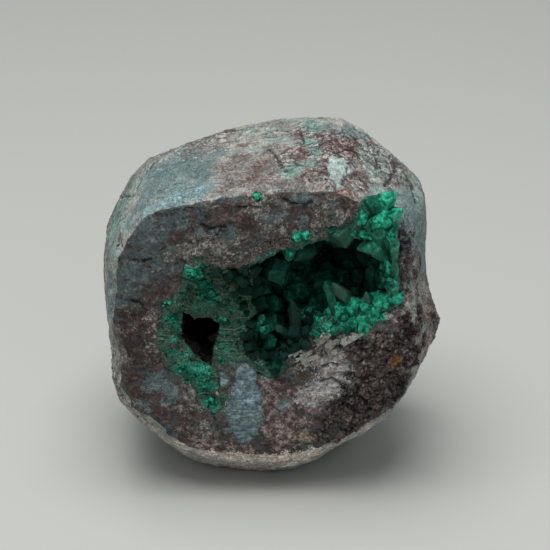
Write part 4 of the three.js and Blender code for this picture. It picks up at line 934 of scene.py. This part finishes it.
# The druse in the pocket is painted near black: painted shade.
colour = grown.mix(grown.ramp("pocket", 0.0, 0.06), colour, PAINTED_POCKET_SHADE)
grown.coat(colour, grown.ramp(middle, 0.3, 0.7, 0.28, 0.55), grown.cells(0.6, "F1"), 0.28)
druse.data.materials.append(grown.material)
blacken(druse, in_pocket)
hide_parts("dioptase_crust")


# The dioptase crystals: stout six-sided prisms of clear emerald green, each closed by three sloping faces,
# which grew on the druse and in it. They crowd the hollow, tiny in the shallow left and large in the main
# cave; their painted light leaves them dark in the main cave and makes them brightest on the ledge at its
# lower right and round its upper right corner.
PRISM_SIDES = 6
TIP_SLOPE, POINTED_SLOPE = 1.23, 3.4
# No tip stands further forward than this, in millimetres.
FOREMOST = -27.8

# The crystals that stand out: the foot, the tip, the width in millimetres, how much painted light it carries
# from 0 to about 1, and how much of a pale skin it has.
MAIN_CRYSTALS = [
    ((4.5, -17, 62.3), (4, -25, 64.2), 4.2, 0.6, 0), ((7.2, -16, 62.3), (6.7, -24.6, 64.3), 5.1, 0.13, 0),
    ((5.6, -23, 69.4), (5.3, -25, 67.4), 2.2, 0.85, 0),
    ((7.3, -23, 69.8), (7.5, -25, 67.9), 2.2, 0.95, 0),
    ((6.4, -22.5, 70.1), (6.4, -24.5, 68.9), 1.8, 0.7, 0),
    ((9.1, -22, 70.1), (9.9, -24, 69.9), 1.3, 0.7, 0),
    ((15.6, -16, 65.6), (14.4, -25.6, 68.7), 6, 0.24, 0.3),
    ((13.3, -18, 67.6), (12.3, -25, 69.4), 3.3, 0.2, 0),
    ((23.6, -17, 64.1), (20.2, -25.2, 65.3), 6, 0.66, 0.25),
    ((25.8, -18, 62.6), (23.3, -24, 63.5), 3.6, 0.55, 0.2),
    ((19.9, -22, 73.2), (19.2, -25, 71.3), 3.3, 0.75, 0),
    ((22, -21, 68.8), (19.5, -25, 68.7), 3.3, 0.72, 0),
    ((18.5, -21.5, 69.6), (17.5, -24, 68.6), 2, 0.55, 0),
    ((21, -22, 71.3), (20.5, -25, 70.6), 2.2, 0.6, 0), ((23, -22, 73.5), (22.3, -24, 78.3), 3.3, 0.42, 0),
    ((24.5, -22, 73.5), (23.9, -24, 78.6), 2.9, 0.65, 0),
    ((25.8, -22.3, 74.1), (25.7, -24.3, 80.2), 3.1, 0.95, 0),
    ((26.7, -22.5, 70.3), (26.9, -24.8, 76.3), 2.9, 0.85, 0),
    ((24.6, -22, 70.1), (24.5, -25.3, 75.6), 3.8, 1, 0),
    ((22.9, -21.5, 68.3), (22, -24.8, 73.9), 3.1, 0.55, 0),
    ((26.4, -22, 65.6), (26.1, -25, 71.6), 2.9, 0.55, 0),
    ((24.2, -21.5, 65.9), (23.8, -24.9, 71.5), 4, 0.5, 0.2),
    ((25.1, -16.5, 49.2), (24.3, -18.5, 61.1), 5.3, 0.17, 0),
    ((27, -22, 61.2), (26.9, -24.7, 68.5), 2, 0.8, 0.35),
    ((26.9, -21.7, 55), (26.5, -24.7, 64.6), 2.4, 0.65, 0.4),
    ((27.3, -21.5, 50.6), (26.7, -24.7, 59.1), 2.7, 0.75, 0.3),
    ((26.1, -21.2, 51.7), (25.6, -24.4, 63.4), 1.1, 1.1, 0),
    ((11.1, -20, 41.8), (11.9, -24, 48.9), 4.2, 0.8, 0),
    ((14.3, -19, 43.9), (13.9, -23, 51.2), 3.8, 0.85, 0),
    ((18.6, -18, 44.3), (18.7, -22.5, 51.7), 5.6, 0.95, 0),
    ((20.5, -20.5, 42.6), (20.3, -25, 49.5), 3.8, 1, 0),
    ((23.2, -20, 44.4), (22.7, -24, 50.7), 3.8, 0.8, 0),
    ((24.7, -19.5, 47.2), (24.2, -23.5, 54.2), 4.7, 0.72, 0),
    ((27.6, -20.5, 48.8), (27.2, -24.2, 55.1), 3.1, 0.75, 0),
    ((15.8, -21, 42.9), (15.6, -25, 48), 3.3, 0.5, 0),
    ((12.9, -21.5, 42.2), (12.5, -25, 46.5), 2.4, 0.6, 0),
    ((18, -21, 43.4), (17.6, -25, 48.2), 2.7, 0.6, 0),
    ((16.8, -17.5, 45.6), (16.6, -21, 50.9), 2.7, 0.7, 0),
    ((21.4, -19, 45.9), (21.4, -23, 51.4), 2.9, 0.8, 0),
    ((25.6, -20.5, 45.2), (24.9, -24.6, 49.8), 2.2, 0.8, 0),
    ((28.4, -21, 51.1), (28.4, -24.2, 54.6), 1.8, 0.7, 0),
    ((15.8, -18, 48.7), (13.1, -22, 56.7), 3.3, 0.4, 0.75),
    ((13.7, -19, 49.8), (12, -21.5, 56.7), 2, 0.4, 0.1),
    ((22, -20, 47.5), (20.8, -24.2, 55.4), 2, 0.6, 0.8),
    ((5.5, -16.5, 40.6), (4.1, -19, 51.5), 2.9, 0.2, 0.55),
    ((7.3, -16, 41.1), (7.3, -18, 47.4), 1.3, 0.25, 0.85),
    ((3.2, -18, 41.2), (0.8, -20, 44.2), 1.8, 0.3, 0.3),
    ((-1.7, -18.5, 40.2), (-1.7, -21.5, 45), 2, 0.6, 0),
    ((-1.1, -18.5, 43.8), (-1.5, -20.5, 47.8), 1.6, 0.45, 0),
    ((2.1, -20, 31.6), (0.8, -22.5, 38.1), 3.6, 0.2, 0),
    ((0.1, -18, 35.7), (-0.8, -21, 42.1), 3.3, 0.32, 0),
    ((4.8, -20, 33.5), (4.1, -22, 39.6), 3.1, 0.14, 0.15),
    ((3, -6, 45.5), (1.7, -10, 54.4), 5.3, 0.34, 0), ((-2.2, -10, 47.2), (-1.5, -13, 54.4), 4.4, 0.12, 0),
    ((10.7, -4, 43.4), (9, -8, 51.3), 5.3, 0.26, 0), ((18, -6, 44.5), (17.1, -9, 51.3), 4.4, 0.12, 0),
    ((6.9, -8, 43.5), (5.5, -12, 51.1), 4.9, 0.36, 0), ((-4.9, -12, 44.9), (-5.5, -16, 51.4), 4, 0.3, 0),
    ((-8.5, -17, 49.9), (-9, -20, 54.9), 2.7, 0.22, 0),
    ((-8, -17, 54.5), (-8.8, -20.5, 59.4), 3.1, 0.12, 0),
    ((19.4, -12, 46.2), (18.1, -14.5, 51.2), 2.7, 0.25, 0.1),
    ((23.1, -14, 48.3), (22, -16.5, 53.8), 2.7, 0.22, 0),
    ((-16.4, -20, 55.6), (-17.1, -23, 60.2), 2.4, 0.6, 0),
    ((-15.3, -20, 53.1), (-15.6, -22.5, 57), 1.8, 0.4, 0),
    ((-18.3, -21, 58.2), (-18.6, -23, 61.5), 1.8, 0.35, 0),
    ((-13.8, -20, 51.1), (-13.2, -22, 54.2), 1.8, 0.45, 0),
]


def crystal_shape(slimness, bevel, steep):
    """A crystal of width 1, its foot 0.2 under the origin and its tip about slimness above: six sides and
    three sloping faces, none of them quite regular. The layer edge is 1 on its edges and 0 between them, and
    facet is a chance number of each face."""
    shape = bmesh.new()
    height = slimness + 0.4
    bmesh.ops.create_cube(shape, size=1, matrix=Matrix.Translation((0, 0, height / 2 - 0.2))
                          @ Matrix.Diagonal((1.6, 1.6, height, 1)))
    cuts = []
    for side in range(PRISM_SIDES):
        angle = math.radians(60 * side + chance.uniform(-7, 7))
        outward = Vector((math.cos(angle), math.sin(angle), -0.06))
        cuts.append((outward * chance.uniform(0.38, 0.5), outward))
    for turn in range(3):
        angle = math.radians(120 * turn + 30 + chance.uniform(-10, 10))
        slope = Vector((steep * math.cos(angle), steep * math.sin(angle), chance.uniform(0.8, 1.6)))
        cuts.append((Vector((0, 0, slimness * chance.uniform(0.88, 1.0))), slope))
    for place, outward in cuts:
        cut = bmesh.ops.bisect_plane(shape, geom=shape.verts[:] + shape.edges[:] + shape.faces[:],
                                     plane_co=place, plane_no=outward, clear_outer=True)
        rim = [g for g in cut["geom_cut"] if isinstance(g, bmesh.types.BMEdge)]
        bmesh.ops.contextual_create(shape, geom=rim)
    bmesh.ops.remove_doubles(shape, verts=shape.verts, dist=1e-4)
    if bevel:
        bmesh.ops.bevel(shape, geom=shape.edges[:], offset=bevel, segments=1, profile=0.5, affect="EDGES",
                        material=-1)
    edge = shape.verts.layers.float.new("edge")
    facet = shape.verts.layers.float.new("facet")
    for v in shape.verts:
        v[edge], v[facet] = 1.0, 0.5
    seen = [f for f in shape.faces if f.calc_area() > 0.02 and f.normal.z > -0.9]
    poked = bmesh.ops.poke(shape, faces=seen)
    for v in poked["verts"]:
        v[edge], v[facet] = 0.0, chance.random()
        v.co += v.normal * chance.uniform(-0.01, 0.03)
    bmesh.ops.recalc_face_normals(shape, faces=shape.faces)
    mesh = bpy.data.meshes.new("crystal_shape")
    shape.to_mesh(mesh)
    shape.free()
    return mesh


# Some shapes of each slimness: pointed ones, plain ones, and fine ones with blunted edges.
SLIMNESS = (0.7, 0.95, 1.3, 1.8, 2.6)
SHAPES_EACH = 5
BLUNTED = 0.05
FULL_TURN = 6.283


def crystal_shapes(bevel, steep=TIP_SLOPE):
    return {slim: [crystal_shape(slim, bevel, steep) for _ in range(SHAPES_EACH)] for slim in SLIMNESS}


chance = random.Random(12)
pointed_shapes = crystal_shapes(0, POINTED_SLOPE)
chance = random.Random(11)
plain_shapes = crystal_shapes(0)
fine_shapes = crystal_shapes(BLUNTED)


def any_way(reach=1.0):
    """A chance step in any direction."""
    return Vector([chance.uniform(-reach, reach) for _ in range(3)])


def new_cluster():
    cluster = bmesh.new()
    for name in ("edge", "facet", "glow", "pale", "rise"):
        cluster.verts.layers.float.new(name)
    return cluster


def add_crystal(cluster, foot, tip, width, glow, pale=0.0, shapes=plain_shapes):
    """Adds a crystal between two places in metres, its width in millimetres."""
    along = tip - foot
    reach = along.length / MM / width
    slim = min(SLIMNESS, key=lambda s: abs(s - reach))
    start, first_face = len(cluster.verts), len(cluster.faces)
    cluster.from_mesh(chance.choice(shapes[slim]))
    cluster.verts.ensure_lookup_table()
    cluster.faces.ensure_lookup_table()
    own = cluster.verts[start:]
    layers = cluster.verts.layers.float
    for v in own:
        # The painted light grows from the foot towards the tip.
        share = max(0.0, v.co.z / slim)
        v[layers["glow"]] = glow * (0.45 + 0.65 * share)
        v[layers["pale"]] = pale
        v[layers["rise"]] = share * slim * width + 10 * glow
    for face in cluster.faces[first_face:]:
        face.material_index = 1 if glow < 0.2 and not pale else 0
    flatness = chance.uniform(0.72, 1.0)
    size = Matrix.Diagonal((width * MM, width * MM * flatness, width * MM * reach / slim, 1))
    spin = Matrix.Rotation(chance.uniform(0, FULL_TURN), 4, "Z")
    bmesh.ops.transform(cluster, verts=own, matrix=aimed(foot, along, "Z") @ spin @ size)


def growth_here(p):
    """The least and greatest width in millimetres and the least and most painted light at this place."""
    if p.x < -6.5:
        return 0.5, 1.0, 0.10, 0.30
    if p.z > 65 and p.x > 19:
        return 1.3, 2.6, 0.24, 0.64
    if p.x > 21 and p.y < -17:
        return 1.0, 2.0, 0.25, 0.60
    if p.z < 53 and p.x > 9 and p.y < -15:
        return 1.2, 2.6, 0.45, 1.0
    if p.z < 38:
        return 1.2, 2.6, 0.0, 0.10
    if p.y < -18:
        return 1.2, 2.6, 0.02, 0.14
    return 2.8, 6.2, 0.18, 0.46


crystals = new_cluster()
# The crystals that stand already, kept by the cell of this many millimetres that they are in.
CELL = 4
CROWDING = 0.38
standing = {}


def room_for(spot, width):
    """Whether a crystal of this width clears the ones that stand already, and if so its place is taken."""
    cell = tuple(int(math.floor(c / MM / CELL)) for c in spot)
    for step in itertools.product((-1, 0, 1), repeat=3):
        for other, wide in standing.get(tuple(c + d for c, d in zip(cell, step)), ()):
            if (spot - other).length / MM < CROWDING * (width + wide):
                return False
    standing.setdefault(cell, []).append((spot, width))
    return True


def rooted_at(foot):
    """The place itself if it is inside the crust or the rock, or else the nearest place on the crust."""
    for walls in (crust_walls, rock_walls):
        on_wall, outward = walls.find_nearest(foot)[:2]
        if (foot - on_wall).dot(outward) < 0:
            return foot
    return crust_walls.find_nearest(foot)[0]


for foot, tip, width, glow, pale in MAIN_CRYSTALS:
    rooted, tip = rooted_at(Vector(foot) * MM), Vector(tip) * MM
    add_crystal(crystals, rooted, tip, width, glow, pale, fine_shapes if pale < 0.4 else pointed_shapes)
    steps = max(2, int((tip - rooted).length / MM / 2))
    for step in range(steps + 1):
        room_for(rooted.lerp(tip, step / steps), width)
    # The large ones have grown together with a smaller one that stands nearly parallel.
    if width > 2.2 and pale < 0.4:
        aside = any_way()
        aside = (aside - aside.project(tip - rooted)).normalized() * 0.42 * width * MM
        end = rooted.lerp(tip, chance.uniform(0.62, 0.93)) + 1.15 * aside
        end.y = max(end.y, (FOREMOST + 0.4) * MM)
        add_crystal(crystals, rooted_at(rooted + aside), end, width * chance.uniform(0.45, 0.7),
                    glow * chance.uniform(0.7, 1.1), pale, fine_shapes)

# The rest stand by chance on the free side of the crust, the largest first, each where there is room.
TRIES = 9000
areas = np.cumsum([area for _, _, area in footholds])
candidates = []
for _ in range(TRIES):
    index = int(np.searchsorted(areas, chance.random() * areas[-1]))
    spot, normal, _ = footholds[min(index, len(footholds) - 1)]
    place_mm = np.array([spot]) / MM
    if nearness(place_mm, BARE_SPOTS)[0] > -0.5 or mouth_share(place_mm)[0] < 1.15:
        continue
    low, high, faint, strong = growth_here(spot / MM)
    lot = chance.random()
    if nearness(place_mm, EMERALD_SPOTS)[0] > 0:
        faint, strong = 0.35, 0.85
    # In the painted shade stand larger, fewer crystals with little painted light.
    elif nearness(place_mm, PAINTED_SHADE_SPOTS)[0] > 0:
        low, high = max(low, 1.6), max(high, 3.4)
        faint, strong = (0.0, 0.06) if spot.y < -16 * MM else (0.10, 0.26)
        if lot < 0.4:
            continue
    elif spot.x < (-4.0 if spot.z < 53 * MM else -6.5) * MM and lot < 0.93:
        continue
    elif spot.x < 20 * MM and spot.y < -15 * MM and spot.z > 56 * MM:
        continue
    elif spot.y < -15 * MM and spot.z < 53 * MM and lot < (0.95 if spot.x > 9 * MM else 0.8):
        continue
    roll = chance.random() ** 1.5
    candidates.append((low + (high - low) * roll, spot, normal, faint + (strong - faint) * chance.random()))
candidates.sort(key=lambda c: -c[0])
for width, spot, normal, glow in candidates:
    if not room_for(spot, width):
        continue
    along = (normal + 0.45 * any_way() + Vector((0, -0.25, 0.05))).normalized()
    length = width * chance.choice((0.5, 0.7, 0.9, 1.2))
    if along.y < 0:
        length = min(length, (spot.y / MM - FOREMOST) / -along.y)
    add_crystal(crystals, spot, spot + along * length * MM, width, glow)

# A few tiny ones stand outside, on the green stains beside the hollow.
STAIN_CRYSTALS = 90
stained = np.flatnonzero((patches["green_stain"] > 0.1) & (broken > 0.5))
for index in chance.sample(list(stained), min(STAIN_CRYSTALS, len(stained))):
    spot, normal = Vector(moved[index]) * MM, Vector(normals[index])
    width = chance.uniform(0.5, 1.1)
    if room_for(spot, width):
        lean = Vector((chance.uniform(-1, 1), 0, chance.uniform(-1, 1)))
        add_crystal(crystals, spot, spot + (normal + 0.5 * lean).normalized() * width * 0.9 * MM, width,
                    chance.uniform(0.4, 0.9))
emeralds = finished(crystals, "dioptase_crystals")

# Clear emerald green with painted light, which grows towards each tip and lightens the edges where the
# crystals are thin; each face is painted its own random tone, lighter on some faces and darker on others, as
# painted light and shade; the ones deep in the hollow carry little painted light, so they are nearly black,
# and are duller.
DIOPTASE_IOR = 1.66
for name, dull in (("dioptase_green", 0), ("dioptase_deep", 1)):
    green = Mixture(name)
    veil, cloudy = green.noise(1.2, 4, 0.6), green.noise(0.5, 3, 0.6)
    band = green.node("TexNoise", "Fac", {"W": green.times("rise", 3.0)}, noise_dimensions="1D")
    split = green.cells(2.2, "DISTANCE_TO_EDGE", place=green.warped(1.1, 0.8))
    glow = green.times(
        "glow", green.ramp(veil, 0.32, 0.68, 0.45, 1.4), green.ramp(band, 0.4, 0.6, 0.8, 1.15),
        green.ramp("edge", 0.2, 0.9, 0.82, 1.14), green.ramp("facet", 0.0, 1.0, 0.5, 1.4),
        green.ramp(split, 0.01, 0.07, 1.4, 0.97))
    colour = green.mix(green.ramp(glow, 0.0, 0.45), (0.011, 0.036, 0.027), (0.018, 0.215, 0.132))
    colour = green.mix(green.ramp(glow, 0.35, 1.1), colour, (0.075, 0.94, 0.57))
    colour = green.tinted(colour, green.ramp(cloudy, 0.3, 0.7, 0.7, 1.25))
    skin_here = green.times("pale", green.ramp(cloudy, 0.3, 0.7, 0.6, 1.0))
    colour = green.mix(skin_here, colour, (0.145, 0.255, 0.195))
    roughness = green.ramp(cloudy, 0.35, 0.75, 0.32 + 0.2 * dull, 0.5 + 0.2 * dull)
    green.coat(colour, roughness, green.plus(cloudy, veil), 0.16, shine=0.15 - 0.1 * dull)
    clear = {"Transmission Weight": 0.5, "IOR": DIOPTASE_IOR, "Specular Tint": (0.10, 0.32, 0.25)}
    for socket, value in clear.items():
        green.put(green.surface.inputs[socket], value)
    absorbed = green.node("VolumeAbsorption", 0, {"Color": (0.05, 0.72, 0.52), "Density": 800})
    green.put(green.tree.nodes["Material Output"].inputs["Volume"], absorbed)
    emeralds.data.materials.append(green.material)
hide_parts("dioptase_crust")


# The pale blades: broken plates of calcite that lie along the lower lip and in the bottom corner, and the
# thin pale green needles that are matted on the shallow left of the druse.
BLADES = [
    ((6.4, -24.4, 37.6), (10.4, -24.4, 38.9), 1.6), ((4.8, -24.1, 38.7), (6.8, -24.1, 39.7), 1.1),
    ((7.3, -24.4, 39.1), (9, -24.3, 40.1), 1.1), ((10.6, -24.4, 42), (13.2, -26.5, 45.5), 1.6),
    ((12.1, -24.7, 41.1), (15, -25, 43.1), 1.6), ((11.2, -25.4, 44.1), (13.5, -24.9, 42.7), 1.1),
    ((15.9, -25, 42.6), (19, -24.8, 44), 1.4), ((16.6, -24.9, 43.5), (17.9, -24.8, 44), 0.9),
    ((19, -24.8, 44), (21.5, -24.6, 45.5), 1.1), ((25.8, -23.4, 49.2), (27.9, -23.9, 47.3), 1.4),
    ((25.4, -24.2, 48.3), (26.8, -24, 48.9), 0.9), ((7.3, -24.4, 36.3), (8.6, -24.4, 37), 0.9),
    ((13.3, -24.9, 39.7), (14.6, -25.1, 40.8), 0.9), ((-12.5, -20.9, 31.3), (-12.4, -23.9, 28.4), 0.9),
]
NEEDLES = [
    ((-11.8, -19.9, 45.4), (-7.6, -20.3, 46.1), 0.5), ((-8, -20.2, 46), (-5.6, -20.6, 46.5), 0.41),
    ((-11.4, -20.1, 43.2), (-8, -20.5, 43.3), 0.54), ((-8.5, -20.4, 43.1), (-5.6, -20.9, 44.7), 0.54),
    ((-20, -20.5, 50.2), (-18, -20.2, 48.8), 0.5), ((-20.5, -20.4, 49.1), (-18.7, -20.2, 48.1), 0.41),
    ((-17.7, -22.8, 37.3), (-14.4, -21.6, 34.9), 0.36), ((-4.9, -24, 35.7), (-2.2, -24.2, 34.2), 0.5),
    ((-2.3, -22.9, 34), (-0.1, -24.2, 32.1), 0.54), ((-3.5, -24.4, 37.1), (-1.3, -23.9, 35.1), 0.41),
]


def add_blade(heap, start, end, width, thick, walls):
    """Adds a thin rough plate from start to end in millimetres, lying on the walls."""
    start, end = Vector(start) * MM, Vector(end) * MM
    along = (end - start).normalized()
    away = walls.find_nearest((start + end) / 2)[1]
    side = away.cross(along).normalized()
    away = along.cross(side)
    first = len(heap.verts)
    bmesh.ops.create_cube(heap, size=1)
    heap.verts.ensure_lookup_table()
    own = heap.verts[first:]
    for v in own:
        if v.co.x > 0:
            v.co.y *= chance.uniform(0.25, 0.8)
            v.co.z *= chance.uniform(0.4, 0.9)
        v.co += Vector((chance.uniform(-0.14, 0.14), chance.uniform(-0.2, 0.2), chance.uniform(-0.2, 0.2)))
    turn = Matrix((along, side, away)).transposed().to_4x4()
    size = Matrix.Diagonal(((end - start).length, width * MM, thick * MM, 1))
    bmesh.ops.transform(heap, verts=own, matrix=Matrix.Translation((start + end) / 2) @ turn @ size)


heap = bmesh.new()
for start, end, width in BLADES:
    add_blade(heap, start, end, width, 1.1, rock_walls)
    # Three splinters of each lie around it.
    for _ in range(3):
        along, first = Vector(end) - Vector(start), Vector(start) + any_way(1.1)
        add_blade(heap, first, first + along * chance.uniform(0.3, 0.5), 0.6 * width, 0.7, rock_walls)
bmesh.ops.bevel(heap, geom=heap.edges[:], offset=0.10 * MM, segments=1, profile=0.5, affect="EDGES",
                material=-1)
bmesh.ops.subdivide_edges(heap, edges=[e for e in heap.edges if e.calc_length() > 0.7 * MM], cuts=2,
                          use_grid_fill=True)
heap.normal_update()
for v in heap.verts:
    v.co += v.normal * MM * 0.2 * noise.noise(v.co / MM / 0.6)
plates = finished(heap, "calcite_blades")
calcite = Mixture("pale_calcite")
stain, grain = calcite.noise(1.8, 4), calcite.noise(0.4, 3, 0.65)
colour = calcite.mix(calcite.ramp(stain, 0.42, 0.6), (0.40, 0.37, 0.32), (0.27, 0.33, 0.31))
colour = calcite.mix(calcite.ramp(calcite.noise(1.1, 4), 0.56, 0.66), colour, (0.10, 0.075, 0.065))
colour = calcite.tinted(colour, calcite.ramp(grain, 0.3, 0.7, 0.65, 1.3))
calcite.coat(colour, calcite.ramp(stain, 0.3, 0.7, 0.45, 0.7), grain, 0.35)
plates.data.materials.append(calcite.material)

mat_of_needles = bmesh.new()
for start, end, width in NEEDLES:
    add_blade(mat_of_needles, start, end, 0.45 * width, 0.2, crust_walls)
needles = finished(mat_of_needles, "needles")
straw = Mixture("pale_green_needles")
tint = straw.noise(0.8, 3)
colour = straw.mix(straw.ramp(tint, 0.35, 0.65), (0.05, 0.12, 0.08), (0.17, 0.24, 0.17))
straw.coat(colour, straw.ramp(tint, 0.3, 0.7, 0.3, 0.55), straw.noise(0.3), 0.15)
needles.data.materials.append(straw.material)


# The ridge crystals: a few tiny ones that grew by themselves in a pit on the ridge above the hollow. They
# are rooted in it and have the same green.
RIDGE_CRYSTALS = 14
low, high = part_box("ridge_crystals")
ridge_middle = (low + high) / 2
cluster = new_cluster()
for _ in range(RIDGE_CRYSTALS):
    away = Vector((chance.uniform(-1, 1), chance.uniform(-1, 1), chance.uniform(-0.4, 1)))
    width = chance.uniform(0.5, 1.0)
    spot = ridge_middle + Vector((away.x * 0.8, away.y * 0.6, -0.8 + 0.3 * away.z)) * MM
    along = (Vector((-0.05, -0.55, 0.8)) + 0.5 * away).normalized()
    # Up on the ridge they carry strong painted light.
    add_crystal(cluster, spot, spot + along * width * MM, width, chance.uniform(0.8, 1.2))
ridge = finished(cluster, "ridge_cluster")
ridge.data.materials.append(emeralds.data.materials[0])
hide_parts("ridge_crystals")
